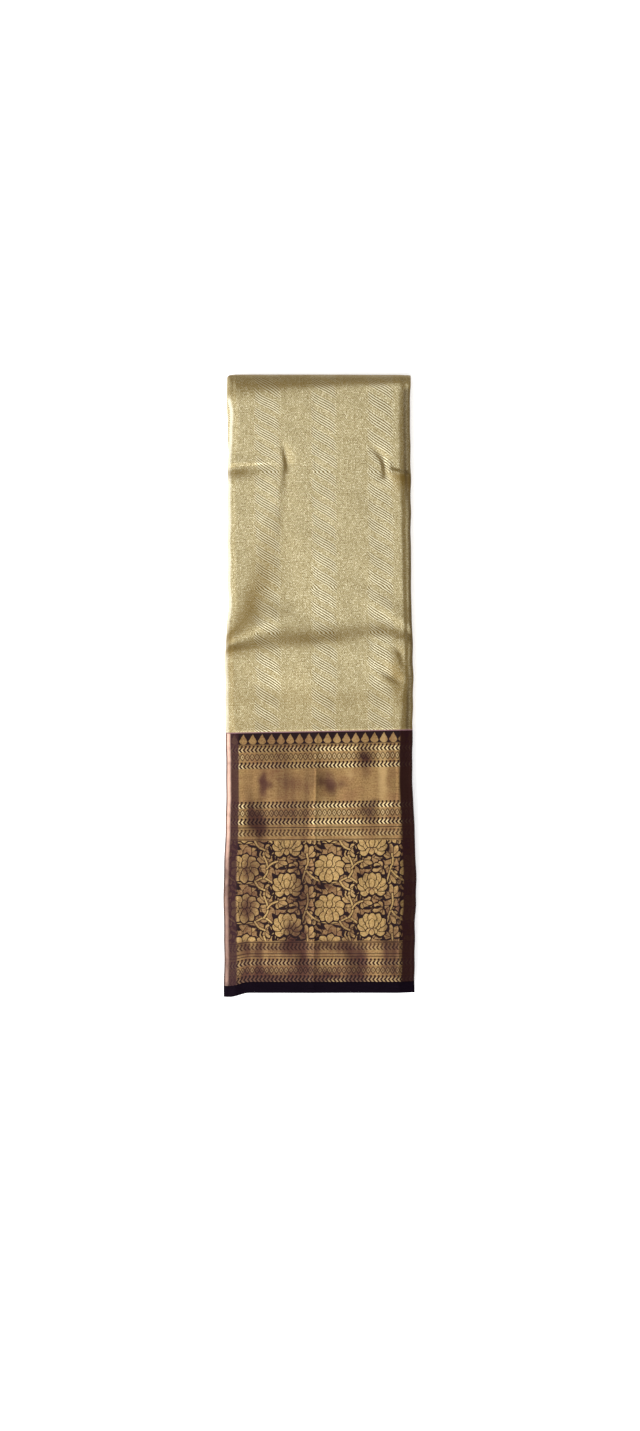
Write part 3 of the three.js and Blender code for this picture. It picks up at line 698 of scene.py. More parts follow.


# %% [markdown]
# ## The painted sheen of the border
#
# Gold thread is bright only where it lies the right way to the light, and that is painted here.
# Where the cloth was pressed aside, the gold is painted darker, as if turned from the light, and
# the dark silk between its threads shows; elsewhere it is painted lighter. These patches are listed
# as soft ovals, with upright brighter columns between them.

# %% Painted shade and highlight patches of the gold
SHEEN_PATCHES = np.array([
    # across, along, half width, half length in millimetres, strength
    (-78, 46, 4, 50, 0.3), (-70, 50, 5, 16, 0.08), (-54, 50, 6.5, 13, -0.5), (-44, 50, 5, 12, 0.15),
    (-65, 79, 6, 12, -0.45), (-58, 92, 8, 8, -0.4), (-74, 78, 5, 12, 0.2), (-30, 20, 30, 12, -0.1),
    (-27, 48, 25, 14, -0.25), (-40, 80, 22, 12, -0.22), (-14, 84, 9, 20, -0.08),
    (8, 22, 12, 11, 0.3), (45, 25, 8, 9, -0.65), (60, 32, 5, 30, 0.27), (4, 46, 7, 13, -0.28),
    (14, 51, 13, 11, -0.5), (29, 41, 9, 7, 0.22), (46, 42, 7, 8, -0.35), (72, 50, 4, 34, -0.25),
    (10, 82, 16, 13, 0.22), (46, 76, 9, 12, -0.5), (68, 82, 6, 14, -0.2), (63, 80, 4, 10, 0.25),
    (20, 98, 30, 6, -0.05),
    (-50, 155, 45, 50, -0.1), (-19, 186, 8, 60, -0.3), (-12, 160, 8, 30, -0.2), (-76, 112, 5, 8, -0.2),
    (-73, 133, 12, 14, -0.4), (-73, 171, 13, 14, -0.36), (-22, 196, 12, 12, -0.3),
    (-40, 176, 6, 10, -0.15),
    (9, 126, 14, 12, 0.14), (50, 118, 10, 10, 0.15), (30, 152, 9, 10, 0.3), (14, 150, 9, 4, -0.2),
    (24, 190, 26, 12, -0.2), (66, 158, 6, 34, -0.25), (77, 166, 5, 44, -0.4), (67, 112, 5, 6, -0.5),
    (43, 139, 5, 7, -0.3),
    (3, 148, 9, 4, -0.5), (54, 196, 9, 12, 0.1),
    (-20, 209, 100, 6, -0.28), (-60, 214, 34, 9, -0.2), (24, 212, 20, 9, -0.22),
    (70, 222, 11, 20, -0.36), (40, 223, 11, 11, -0.5),
    (60, 216, 8, 10, 0.06), (-14, 226, 12, 12, -0.48), (14, 228, 14, 10, -0.3), (-60, 227, 36, 8, -0.26),
    (-56, 240, 44, 7, -0.7), (6, 240, 12, 7, -0.5), (34, 240, 16, 7, -0.5), (74, 238, 8, 12, -0.25),
])


def painted_sheen(across, along):
    """The painted sheen: a half, plus the patches as bell curves, plus fine upright columns."""
    x, y = across / MM, along / MM
    total = 0.5 + 0.06 * ripple(x, 0.12 * y, 9.0, 31) + 0.08 * ripple(x, 0.3 * y, 26.0, 32)
    x, y = x + 1.2 * ripple(x, y, 16.0, 33), y + 2.0 * ripple(x, y, 20.0, 34)
    for at_x, at_y, half_x, half_y, strength in SHEEN_PATCHES:
        total += strength * np.exp(-((x - at_x) / half_x) ** 2 - ((y - at_y) / half_y) ** 2)
    return total + 0.1 * np.tanh((x + 5) / 2) * ease((180 - y) / 80)


# %% [markdown]
# ## The borders
#
# The border is woven with heavy gold thread and is stiffer than the body, so its shoulders are
# sharp. It is a sheet of its own on each half. The rows are close where the vine runs, since the
# vine's outline is carried by the points, and wide elsewhere, where the pattern is worked out
# in the finish.

# %% Weave both borders
BORDER_STEPS = (2, 14, 12, 290)
VINE_STEP = 0.6 * MM
BAND_STEP = 1.8 * MM


def border_marks(across, along):
    """The vine's gold and tone, and the painted sheen."""
    drawing = draw_vine(across, along)
    return {"vine": drawing.gold, "tone": drawing.tone, "painted_sheen": painted_sheen(across, along)}


vine_foot, vine_top = JOIN - BAND[1] * MM, JOIN - BAND[0] * MM
border_y = stations((HEM, vine_foot, BAND_STEP), (vine_foot, vine_top, VINE_STEP),
                    (vine_top, JOIN, BAND_STEP))
border_front = cloth_sheet("border_front_cloth", border_y, 0.0, BORDER_STEPS, marks=border_marks)
border_back = cloth_sheet("border_back_cloth", border_y[::-1], np.pi, BORDER_STEPS, hangs=0.0,
                          marks=border_marks)

# %% [markdown]
# ## The plain hems
#
# Below the border runs a narrow hem of plain dark silk. It is soft and thin, so it is a short
# sheet of its own with the thickness of a doubled edge.

# %% Weave both hems
HEM_STEPS = (2, 14, 6, 90)
hem_y = stations((END, HEM, 1.1 * MM))
hem_front = cloth_sheet("hem_front_cloth", hem_y, 0.0, HEM_STEPS)
hem_back = cloth_sheet("hem_back_cloth", hem_y[::-1], np.pi, HEM_STEPS, hangs=0.0)
for hem in (hem_front, hem_back):
    thicken(hem, 2 * SILK)

# %% [markdown]
# ## The layers between
#
# On the right side the pack shows how it was folded. Below the outer bundle, each earlier fold
# shows as a smaller rounded edge: bundles of eight layers, four, two and the loose ends. They are
# one closed strip that follows the same stations as the outer layer, top fold and all. Each
# bundle stands in or out by its own few tenths.

# %% Bundles of layers along the right side
BUNDLES = [  # outer and inner depth as shares of the side, and how far in it lies
    (1 / 2, 1 / 4, 1.2), (1 / 4, 1 / 8, 0.5), (1 / 8, 1 / 16, 1.6), (1 / 16, 1 / 32, 0.9),
    (1 / 32, 0, 2.2),
]
COVER = 1.3 * MM  # the layers keep this far under the outer one
MARGIN = 1.0 * MM  # and this far from its turns


def layers_outline(y, under):
    """A closed outline for each station: under the face, then round every bundle's edge."""
    column = y[:, None]
    shade = under[:, None]
    left, right = edges(column, shade)
    side = face_depth(right - RIGHT_TURN, column, shade)
    foot = left + LEFT_TURN + MARGIN
    t = np.linspace(0, 1, 24)[None]
    across = foot * (1 - t) + (right - RIGHT_TURN - MARGIN) * t
    xs = [foot, across]
    depths = [GAP + 0 * foot, face_depth(across, column, shade) - COVER]
    for k, (outer, inner, inset) in enumerate(BUNDLES):
        low = np.maximum(GAP, side * inner)
        high = np.maximum(low + 0.1 * MM, side * outer - (0.2 * MM if k == 0 else 0))
        radius = (high - low) / 2
        drift = 0.35 * MM * ripple(column, 0 * column, 30 * MM, 20 + k)
        swing = np.linspace(0.5, -0.5, 8)[None] * np.pi
        xs.append(right - inset * MM - drift - radius + radius * np.cos(swing))
        depths.append((high + low) / 2 + radius * np.sin(swing))
    return np.concatenate(xs, axis=1), np.concatenate(depths, axis=1)


def layers_piece(name, y, angle, marks, along=None):
    """The closed strip of layers, with both ends filled."""
    angle = np.broadcast_to(angle, y.shape)
    along = JOIN - y if along is None else along
    x, depth = layers_outline(y, (1 - np.cos(angle)) / 2)
    points = place(x, depth, y[:, None], angle[:, None], hangs=0.0)
    rows, columns = x.shape
    faces = grid_faces(rows, columns, closed=True).tolist()
    faces.append(list(range(columns))[::-1])
    faces.append([(rows - 1) * columns + k for k in range(columns)])
    across = x + (depth - HALF)
    uv = np.stack([across, np.broadcast_to(along[:, None], across.shape)], axis=-1)
    extra = marks(uv[..., 0], uv[..., 1])
    extra["rim"] = 0 * across
    extra["away"] = lean_for_shade(points)
    return add_piece(name, points, faces, uv, extra)


def every_other(rows):
    """Half of the rows, with the last one kept."""
    return np.append(rows[:-1:2], rows[-1])


body_layers = layers_piece("body_folds", every_other(body_y), every_other(body_angle), body_marks,
                           every_other(body_along))
core_y = stations((HEM, JOIN, 4 * MM))
border_layers_front = layers_piece("border_folds_front", core_y, 0.0, border_marks)
border_layers_back = layers_piece("border_folds_back", core_y[::-1], np.pi, border_marks)

# %% [markdown]
# ## The leaves of the hem
#
# At the bottom the layers end, one above the other, never quite level. Each is a thin sheet that
# comes along the lower side of its half, goes round inside the left turn, and comes back above.
# Ten of them in each half are enough to read as a stack of cloth.

# %% Nested leaves at the hem
LEAF_COUNT = 10
LEAF_STEPS = (24, 10, 4, 30)
LEAF = 0.35 * MM  # its thickness


def leaf(y, under, nest, reach):
    """The outer path, nested, without its right turn: it starts at the right, runs to the left at
    half that share of the depth, and comes back as far as the reach."""
    tuck, _, slope, _ = LEAF_STEPS
    before_turn = slice(0, sum(LEAF_STEPS) + slope + 1)
    x, depth = [grid[:, before_turn] for grid in outer_path(y, under, LEAF_STEPS, nest)]
    left, right = edges(y[:, None], under[:, None])
    out = np.linspace(1, 0, tuck + 1)[None, :-1]
    x[:, :tuck] = left + LEFT_TURN + (right - left - LEFT_TURN - 3 * MM) * out
    low = face_depth(x[:, :tuck], y[:, None], under[:, None]) - GAP
    depth[:, :tuck] = GAP + low * nest / 2
    return np.minimum(x, right - reach), depth


def leaf_stack(name, angle, seed):
    """Nested sheets at equal shares of the depth, each ending a little short by chance."""
    chance = np.random.default_rng(seed)
    points, faces, start = [], [], 0
    for k in range(1, LEAF_COUNT + 1):
        short = (0.5 + 2.4 * chance.random()) * MM
        y = np.linspace(END + short, HEM + 0.5 * MM, 4)
        if angle > 0:
            y = y[::-1]
        under = np.full(len(y), (1 - math.cos(angle)) / 2)
        reach = (1.5 + 1.5 * chance.random()) * MM
        x, depth = leaf(y, under, k / (LEAF_COUNT + 1), reach)
        wave = 0.12 * MM * ripple(x, y[:, None], 30 * MM, seed + k)
        points.append(place(x, depth + wave, y[:, None], angle, hangs=0.0).reshape(-1, 3))
        faces.append(grid_faces(*x.shape, start=start))
        start += x.size
    points, faces = np.concatenate(points), np.concatenate(faces)
    uv = np.stack([points[:, 0], JOIN - points[:, 1]], axis=-1)
    piece = add_piece(name, points, faces, uv)
    thicken(piece, LEAF)
    return piece


leaves_front = leaf_stack("hem_leaves_front", 0.0, 40)
leaves_back = leaf_stack("hem_leaves_back", math.pi, 60)

# %% [markdown]
# ## Node maths in short
#
# The woven patterns are worked out in the materials from the cloth's own measure. Such sums are
# unreadable as lists of nodes, so a node's output is wrapped in a small class: plus, minus, times
# and divided by each add one Math node, and a few helpers add the rest.

# %% Outputs that are reckoned with like numbers
def srgb(*values):
    """A colour given as 0 to 255 in the usual screen values, as linear light."""
    scaled = [v / 255 for v in values]
    return (*[v / 12.92 if v <= 0.04045 else ((v + 0.055) / 1.055) ** 2.4 for v in scaled], 1.0)


def add_node(tree, kind, **settings):
    """A new node of a tree, with its settings."""
    made = tree.nodes.new(kind)
    for key, value in settings.items():
        setattr(made, key, value)
    return made


class Value:
    """A node's output. Reckoning with it gives another one."""

    def __init__(self, tree, socket):
        self.tree, self.socket = tree, socket

    def __add__(self, other):
        return maths("ADD", self, other)

    def __sub__(self, other):
        return maths("SUBTRACT", self, other)

    def __rsub__(self, other):
        return maths("SUBTRACT", other, self)

    def __mul__(self, other):
        return maths("MULTIPLY", self, other)

    def __rtruediv__(self, other):
        return maths("DIVIDE", other, self)

    def stored(self, name):
        """A value kept on the cloth's points, in the same tree."""
        made = add_node(self.tree, "ShaderNodeAttribute", attribute_name=name)
        return Value(self.tree, made.outputs["Fac"])


def wire(value, socket):
    """Link an output to a socket, or set the socket to a plain value."""
    if isinstance(value, Value):
        value.tree.links.new(value.socket, socket)
    else:
        socket.default_value = value


def maths(operation, *values, clamp=False):
    """One Math node. At least one of the values is an output."""
    tree = next(value.tree for value in values if isinstance(value, Value))
    made = add_node(tree, "ShaderNodeMath", operation=operation, use_clamp=clamp)
    for value, socket in zip(values, made.inputs):
        wire(value, socket)
    return Value(tree, made.outputs[0])


# %% Steps, waves, colours and noise
def least(a, b):
    """The smaller of two."""
    return maths("MINIMUM", a, b)


def most(a, b):
    """The larger of two."""
    return maths("MAXIMUM", a, b)


def magnitude(a):
    """The value without its sign."""
    return maths("ABSOLUTE", a)


def wave(value, period):
    """0 to 1 and back once in each period, as half of one plus the cosine."""
    return maths("COSINE", value * (2 * math.pi / period)) * 0.5 + 0.5


def saw(value, period):
    """Signed distance to the nearest multiple of the period."""
    return maths("FRACT", value * (1 / period) + 0.5) * period - period / 2


def step(value, low, high):
    """A smooth step from 0 at low to 1 at high."""
    made = add_node(value.tree, "ShaderNodeMapRange", interpolation_type="SMOOTHSTEP")
    wire(value, made.inputs["Value"])
    made.inputs["From Min"].default_value = low
    made.inputs["From Max"].default_value = high
    return Value(value.tree, made.outputs["Result"])


def within(value, low, high, soft=0.12):
    """1 between low and high, with soft ends."""
    away = magnitude(value - (low + high) / 2)
    return 1.0 - step(away, (high - low) / 2 - soft, (high - low) / 2 + soft)


def mix(share, first, second):
    """The first colour, turning into the second as the share goes from 0 to 1."""
    made = add_node(share.tree, "ShaderNodeMix", data_type="RGBA")
    for value, name in ((share, "Factor_Float"), (first, "A_Color"), (second, "B_Color")):
        wire(value, next(s for s in made.inputs if s.identifier == name))
    return Value(share.tree, next(s for s in made.outputs if s.identifier == "Result_Color"))


def noise(place_on_cloth, scale, detail=2.0, stretch=None):
    """Soft noise about 1 / scale millimetres long, or shorter on each axis that is stretched."""
    tree = place_on_cloth.tree
    if stretch:
        mapping = add_node(tree, "ShaderNodeMapping")
        wire(place_on_cloth, mapping.inputs["Vector"])
        mapping.inputs["Scale"].default_value = stretch
        place_on_cloth = Value(tree, mapping.outputs[0])
    made = add_node(tree, "ShaderNodeTexNoise")
    wire(place_on_cloth, made.inputs["Vector"])
    made.inputs["Scale"].default_value = scale
    made.inputs["Detail"].default_value = detail
    return Value(tree, made.outputs["Fac"])


# %% [markdown]
# ## Threads and side edges
#
# Every part of the cloth is woven, so the threads are one node group that all the materials
# share. It takes the cloth's measure in millimetres, and gives the threads' height and a slight
# change of shade from thread to thread. A second group finds the strips along the two side
# edges, where the body and the border both change their look.

# %% Two node groups
def new_group(name, inputs, outputs):
    """An empty node group with its sockets, and its inputs as values."""
    tree = bpy.data.node_groups.new(name, "ShaderNodeTree")
    for sockets, way in ((inputs, "INPUT"), (outputs, "OUTPUT")):
        for label, kind in sockets.items():
            tree.interface.new_socket(label, in_out=way, socket_type="NodeSocket" + kind)
    given = add_node(tree, "NodeGroupInput")
    return tree, [Value(tree, given.outputs[label]) for label in inputs]


def end_group(tree, **results):
    """Wire a group's results to its outputs."""
    out = add_node(tree, "NodeGroupOutput")
    for label, value in results.items():
        wire(value, out.inputs[label])
    return tree


def thread_group():
    """Height: rounded ribs both ways, offset like a plain weave. Shade: noise along each thread."""
    tree, (cloth, spacing) = new_group("woven threads", {"Cloth": "Vector", "Spacing": "Float"},
                                       {"Height": "Float", "Shade": "Float"})
    split = add_node(tree, "ShaderNodeSeparateXYZ")
    wire(cloth, split.inputs[0])
    turns = (2 * math.pi) / spacing
    warp = maths("SINE", Value(tree, split.outputs[0]) * turns)
    weft = maths("SINE", Value(tree, split.outputs[1]) * turns)
    slubs = noise(cloth, 1.0, stretch=(0.06, 2.2, 1.0))
    grain = noise(cloth, 1.0, stretch=(1.6, 0.5, 1.0))
    return end_group(tree, Height=warp * weft * 0.5 + 0.5, Shade=slubs * 0.5 + grain * 0.5)


def side_group():
    """Left and Right: 1 within Near millimetres of that edge, and fading to 0 at Far."""
    tree, (across, rim_gap, near, far) = new_group(
        "side edges", dict.fromkeys(("Across", "Rim", "Near", "Far"), "Float"),
        dict.fromkeys(("Left", "Right"), "Float"))
    share = maths("DIVIDE", far - rim_gap, far - near, clamp=True)
    to_right = step(across, -2.0, 2.0)
    return end_group(tree, Left=share * (1.0 - to_right), Right=share * to_right)


threads = thread_group()
side_edges = side_group()
print("node groups:", [tree.name for tree in (threads, side_edges)])


# %% The start and end of every material
def near_edges(across, near, far):
    """The side group's two masks for one width."""
    made = add_node(across.tree, "ShaderNodeGroup", node_tree=side_edges)
    for name, value in (("Across", across), ("Rim", across.stored("rim")), ("Near", near), ("Far", far)):
        wire(value, made.inputs[name])
    return Value(across.tree, made.outputs["Left"]), Value(across.tree, made.outputs["Right"])


def start_material(name, spacing):
    """A material and its shader, then as values the cloth's measure in millimetres, the way across,
    the way along, and the threads' height and shade."""
    material = bpy.data.materials.new(name)
    material.use_nodes = True
    tree = material.node_tree
    shader = next(n for n in tree.nodes if n.type == "BSDF_PRINCIPLED")
    measure = add_node(tree, "ShaderNodeUVMap", uv_map="cloth")
    scaled = add_node(tree, "ShaderNodeVectorMath", operation="SCALE")
    scaled.inputs["Scale"].default_value = 1 / MM
    tree.links.new(measure.outputs[0], scaled.inputs[0])
    cloth = Value(tree, scaled.outputs[0])
    split = add_node(tree, "ShaderNodeSeparateXYZ")
    wire(cloth, split.inputs[0])
    woven = add_node(tree, "ShaderNodeGroup", node_tree=threads)
    wire(cloth, woven.inputs["Cloth"])
    woven.inputs["Spacing"].default_value = spacing
    sockets = (split.outputs[0], split.outputs[1], woven.outputs["Height"], woven.outputs["Shade"])
    return material, shader, cloth, *[Value(tree, socket) for socket in sockets]


def finish_bump(shader, height, strength, distance):
    """Turn a height into a change of normal."""
    bump = add_node(height.tree, "ShaderNodeBump")
    wire(height, bump.inputs["Height"])
    bump.inputs["Strength"].default_value = strength
    bump.inputs["Distance"].default_value = distance
    height.tree.links.new(bump.outputs[0], shader.inputs["Normal"])


# %% [markdown]
# ## Tissue silk of the body
#
# Pale gold tissue has silk one way and fine metal thread the other. Its own pattern is a set of
# waving diagonal stripes: they run down to the right, gently in three upright lanes and steeply
# between them, and in the lanes fine bright and dull lines hatch them. The metal thread breaks
# the light up into a fine grain. Where the cloth leans to the top or the right, a brown shade is
# painted on it. At the join a mauve line shows where the border's warp is locked into the body's.
# The turned edge on the left has a painted highlight, and the folds on the right a strip of painted
# shade.

# %% The body's finish
LANE = 55.0  # from one lane of hatching to the next, in millimetres
LANE_SHIFT = 4.0
WAVING = 0.42  # how far the stripes swing, as a share of a lane
STRIPE = 17.0  # one diagonal stripe, measured along the cloth
HATCH = 2.5
TOP_FOLD = float(FOLD_Y - JOIN) / MM  # where the top fold starts along the cloth
STRIP_FADE = 6.0  # the shaded strip on the right fades out this far short of it

HOLLOW, METAL, GLINT = srgb(120, 102, 60), srgb(181, 166, 124), srgb(248, 239, 204)
# the middle colour of the next row is a painted highlight for the left edge; the row after is painted shade:
# by lean, along creases, and on the right folds
CLOUD, EDGE_HIGHLIGHT, MAUVE = srgb(150, 134, 94), srgb(255, 251, 234), srgb(140, 104, 108)
LEAN_SHADE, PAINTED_SHADE_BROWN, FOLD_SHADE = srgb(124, 98, 42), srgb(117, 92, 34), srgb(72, 54, 30)


def body_material():
    """The woven colour by its tone, then each change of look mixed over it, painted highlight and shade
    among them.
    """
    material, shader, cloth, across, along, ribs, shade = start_material("tissue silk", 0.45)
    turn = (across - LANE_SHIFT) * (2 * math.pi / LANE)
    level = along + across + maths("SINE", turn) * (-WAVING * LANE / (2 * math.pi))
    lane = step(maths("COSINE", turn), -0.05, 0.6)
    stripe = step(wave(level, STRIPE), 0.05, 0.6)
    lit = (wave(level, HATCH) - 0.5) * (lane * stripe * 2.35 + 0.4)
    grain = noise(cloth, 0.75) - 0.5
    coarse = noise(cloth, 0.22, stretch=(1.0, 0.6, 1.0)) - 0.5
    tone = (lit + lane * 0.05) * 1.3 + (grain * 3.4 + coarse * 0.8) + (shade - 0.5) * 0.5
    base = mix(step(tone, -0.9, 0.0), HOLLOW, METAL)
    base = mix(step(tone, 0.0, 1.0), base, GLINT)
    base = mix(step(noise(cloth, 0.02, 3.0), 0.35, 0.7) * 0.1, base, CLOUD)

    # painted highlight along the turned edge on the left, ending at the top fold
    left, _ = near_edges(across, 2.2, 4.0)
    left = left * (1.0 - step(along, TOP_FOLD - 3.0, TOP_FOLD + 3.0))
    base = mix(left * 0.45, base, EDGE_HIGHLIGHT)
    # painted shade where the cloth leans to the top and the right
    base = mix(step(cloth.stored("away"), 0.0, 0.26) * 0.64, base, LEAN_SHADE)
    # painted shade along the listed lines of creases, hollows and folds
    base = mix(least(cloth.stored("painted_shade"), 1.15) * 0.72, base, PAINTED_SHADE_BROWN)
    slim = within(along, 50.0, 225.0, 32.0)  # the strip is narrow along the middle of the pack
    _, strip = near_edges(across, 5.6 - slim * 4.2, 7.8 - slim * 2.8)
    _, outer = near_edges(across, 1.5, 4.5)
    strip = strip * (0.66 - outer * (0.3 - slim * 0.2))
    strip = strip * (1.0 - step(along, TOP_FOLD - STRIP_FADE, TOP_FOLD))
    base = mix(strip, base, FOLD_SHADE)
    ends = least(along, body_length / MM - along)
    base = mix(1.0 - step(ends, 0.6, 1.4), base, MAUVE)

    wire(base, shader.inputs["Base Color"])
    wire(0.5 - lit * 0.3, shader.inputs["Roughness"])
    shader.inputs["Metallic"].default_value = 0.3
    shader.inputs["Specular IOR Level"].default_value = 0.15
    finish_bump(shader, ribs * 0.4 + lit, 0.3, 0.12 * MM)
    return material


tissue = body_material()
print(tissue.name, "has", len(tissue.node_tree.nodes), "nodes")

# %% [markdown]
# ## Gold thread of the border
#
# From the join down, the border has a row of temple drops, a band of chevrons and diamonds, a
# broad plain band, the chevrons again, the vine, and chevrons once more above the hem. One
# template of chevrons and diamonds serves all three bands: the way down from each band's start
# is worked out first, and the marks are drawn on that. The marks come in two kinds, dark ones
# where the gold is left out and bright ones where it floats on top. The gold is painted lighter and
# darker by the painted sheen, the two sides where the cloth turns are painted in dark aubergine
# shade, and a painted highlight lies along the turn on the left.

# %% Chevrons, diamonds and dots
PITCH = 3.8  # one chevron
CHEVRON_ROWS = (4.4, 20.4)  # their middles below a band's start
CHEVRON_LEAN = 0.85  # how far an arm runs aside for each millimetre down
DOT_ROWS = (1.0, 17.2)
NET = (7.9, 15.2)  # from and to
DIAMOND = (4.7, 7.4, 11.4)  # width, height and middle
BAND_STARTS = [(0.0, 12.1), (60.0, 66.9), (93.4, 94.1), (150.0, 204.9), (215.0, 219.8)]  # from, start
FULL_BANDS = [(12.1, 35.0), (66.9, 90.2), (219.8, 243.0)]
SHORT_BANDS = [(94.1, 102.8), (204.9, 213.4)]
LINES = [(92.4, 0.5), (104.2, 0.5), (203.9, 0.6), (215.0, 0.4), (217.8, 0.4), (11.5, 0.35)]  # at, half width


def inside_any(along, bands):
    """1 inside any of the bands."""
    first, *others = [within(along, low, high) for low, high in bands]
    return sum(others, first)


def nearest_row(down, rows):
    """Distance to the nearer of two rows."""
    return least(magnitude(down - rows[0]), magnitude(down - rows[1]))


def band_marks(across, along):
    """Dark marks and bright marks of the chevron bands."""
    start = before = 0.0
    for begins, at in BAND_STARTS:
        start = maths("GREATER_THAN", along, begins) * (at - before) + start
        before = at
    down = along - start
    dots = 1.0 - step(most(magnitude(saw(across, PITCH)), nearest_row(down, DOT_ROWS)), 0.75, 1.1)

    rows = nearest_row(down, CHEVRON_ROWS)
    arm = wave(across - rows * CHEVRON_LEAN, PITCH)
    on_row = 1.0 - step(rows, 2.1, 2.5)
    chevron_dark = (1.0 - step(arm, 0.3, 0.52)) * on_row
    chevron_bright = step(arm, 0.64, 0.94) * on_row

    wide, tall, middle = DIAMOND
    net = magnitude(saw(across, wide)) * (2 / wide) + magnitude(saw(down - middle, tall)) * (2 / tall)
    on_net = within(down, *NET)
    web = 1.0 - step(magnitude(net - 1.0), 0.16, 0.36)
    heart = 1.0 - step(net, 0.16, 0.4)
    net_dark = most(web, heart) * on_net * 0.7
    net_bright = within(net, 0.45, 0.7, 0.08) * on_net * 0.45

    full = inside_any(along, FULL_BANDS)
    short = inside_any(along, SHORT_BANDS)
    dark = most(dots, most(chevron_dark, net_dark)) * full
    dark = most(dark, most(dots, chevron_dark) * (short * 0.8))
    for at, half in LINES:
        dark = most(dark, within(along, at - half, at + half) * 0.75)
    bright = (chevron_bright + net_bright) * full + chevron_bright * (short * 0.35)
    return dark, bright


# %% Temple drops
DROP_PITCH = 9.1
DROP_SHIFT = -1.6
DROP_TOP, DROP_FOOT = 0.9, 11.0  # below the join
DROP_HALF = 4.3  # half its width at its widest
DROP_TAPER = 7.2  # it widens for this long
DROP_ROUND = (6.0, 4.2)  # where its foot starts to round, and for how long


def drop_gold(across, along):
    """Half width: DROP_HALF times the share of the taper, almost straight, and rounded like a
    quarter circle towards the foot."""
    wide = magnitude(saw(across - DROP_SHIFT, DROP_PITCH))
    down = along - DROP_TOP
    swell = maths("POWER", most(least(down, DROP_TAPER), 0.0) * (1 / DROP_TAPER), 0.95)
    low = most(down - DROP_ROUND[0], 0.0) * (1 / DROP_ROUND[1])
    foot = maths("SQRT", most(1.0 - low * low, 0.0))
    return step(swell * DROP_HALF * foot - wide, 0.0, 0.4) * within(along, DROP_TOP, DROP_FOOT)


# %% The border's finish
THREADS = srgb(108, 76, 46), srgb(160, 128, 82)  # in hollows and on ribs
SPECK, SHOT = srgb(176, 146, 96), srgb(118, 74, 56)  # bright points, and patches of the silk's red
LEAF_GOLD = srgb(106, 74, 50), srgb(154, 119, 82)  # the vine's dull parts
PETAL_GOLD = srgb(152, 121, 74), srgb(200, 168, 112)  # and its bright ones
# bright floats of the pattern, also brightened as painted glints; then a painted highlight and a painted
# shade of the gold
FLOAT, SHEEN_LIT_GOLD, SHEEN_SHADED_GOLD = srgb(252, 232, 178), srgb(204, 172, 118), srgb(56, 24, 28)
GROUND = srgb(18, 5, 8), srgb(38, 13, 16)
# painted shade of the turned sides, left and right, and a painted highlight on the left turn
LEFT_SIDE_SHADE = srgb(36, 13, 19), srgb(62, 29, 32)
RIGHT_SIDE_SHADE, EDGE_GLINT = srgb(40, 13, 15), srgb(238, 194, 174)


def border_material():
    """Where there is gold, what colour it has under its painted sheen, the ground between, and the painted
    shade and highlight of the two sides.
    """
    material, shader, cloth, across, along, ribs, shade = start_material("gold border", 0.55)
    dark, bright = band_marks(across, along)
    in_vine = within(along, *BAND)
    in_drops = 1.0 - step(along, 10.9, 11.1)
    gold = (1.0 - dark) * (1.0 - in_vine) + step(cloth.stored("vine"), -0.3, 0.12) * in_vine
    gold = gold * (1.0 - in_drops) + drop_gold(across, along) * in_drops

    streak = step(shade, 0.32, 0.68)
    speck = step(noise(cloth, 0.6), 0.35, 0.65)
    thread = mix(speck * 0.35, mix(streak, *THREADS), SPECK)
    thread = mix(step(noise(cloth, 0.05), 0.4, 0.68) * 0.3, thread, SHOT)
    figured = mix(step(cloth.stored("tone"), 0.1, 0.95),
                  mix(speck * 0.6, *LEAF_GOLD), mix(speck * 0.6, *PETAL_GOLD))
    thread = mix(in_vine, thread, figured)
    # the painted sheen: floats get painted glints, and the gold is painted lighter where it is high and
    # darker where it is low
    sheen_paint = cloth.stored("painted_sheen")
    thread = mix(bright * (step(sheen_paint, 0.4, 0.68) * 0.68 + 0.22), thread, FLOAT)
    thread = mix(step(sheen_paint, 0.5, 1.0) * 0.55, thread, SHEEN_LIT_GOLD)
    thread = mix((1.0 - step(sheen_paint, -0.1, 0.52)) * 0.88, thread, SHEEN_SHADED_GOLD)
    base = mix(gold, mix(streak, *GROUND), thread)

    # painted shade over both turned sides
    left_shaded, right_shaded = near_edges(across, 12.0, 13.8)
    base = mix(left_shaded * 0.9, base, mix(streak, *LEFT_SIDE_SHADE))
    base = mix(right_shaded * 0.97, base, RIGHT_SIDE_SHADE)
    # a painted highlight along the left turn, patchy, and fainter lower down
    near, _ = near_edges(across, 3.6, 5.4)
    edge, _ = near_edges(across, 0.8, 2.0)
    patchy = step(noise(cloth, 0.09), 0.3, 0.6) * 0.45 + 0.55
    edge_glint = near * (1.0 - edge) * patchy * (1.0 - step(along, 85.0, 150.0) * 0.62)
    base = mix(edge_glint * 0.9, base, EDGE_GLINT)

    wire(base, shader.inputs["Base Color"])
    wire(gold * 0.5 * (1.0 - (left_shaded + right_shaded) * 0.7), shader.inputs["Metallic"])
    wire(0.55 - gold * 0.17, shader.inputs["Roughness"])
    shader.inputs["Specular IOR Level"].default_value = 0.12
    finish_bump(shader, ribs * 0.5 + gold * 0.8, 0.4, 0.15 * MM)
    return material


gold_border = border_material()
print(gold_border.name, "has", len(gold_border.node_tree.nodes), "nodes")

# %% [markdown]
# ## Plain silk of the hem
#
# The hem has no gold: it is dark aubergine silk with a low sheen.

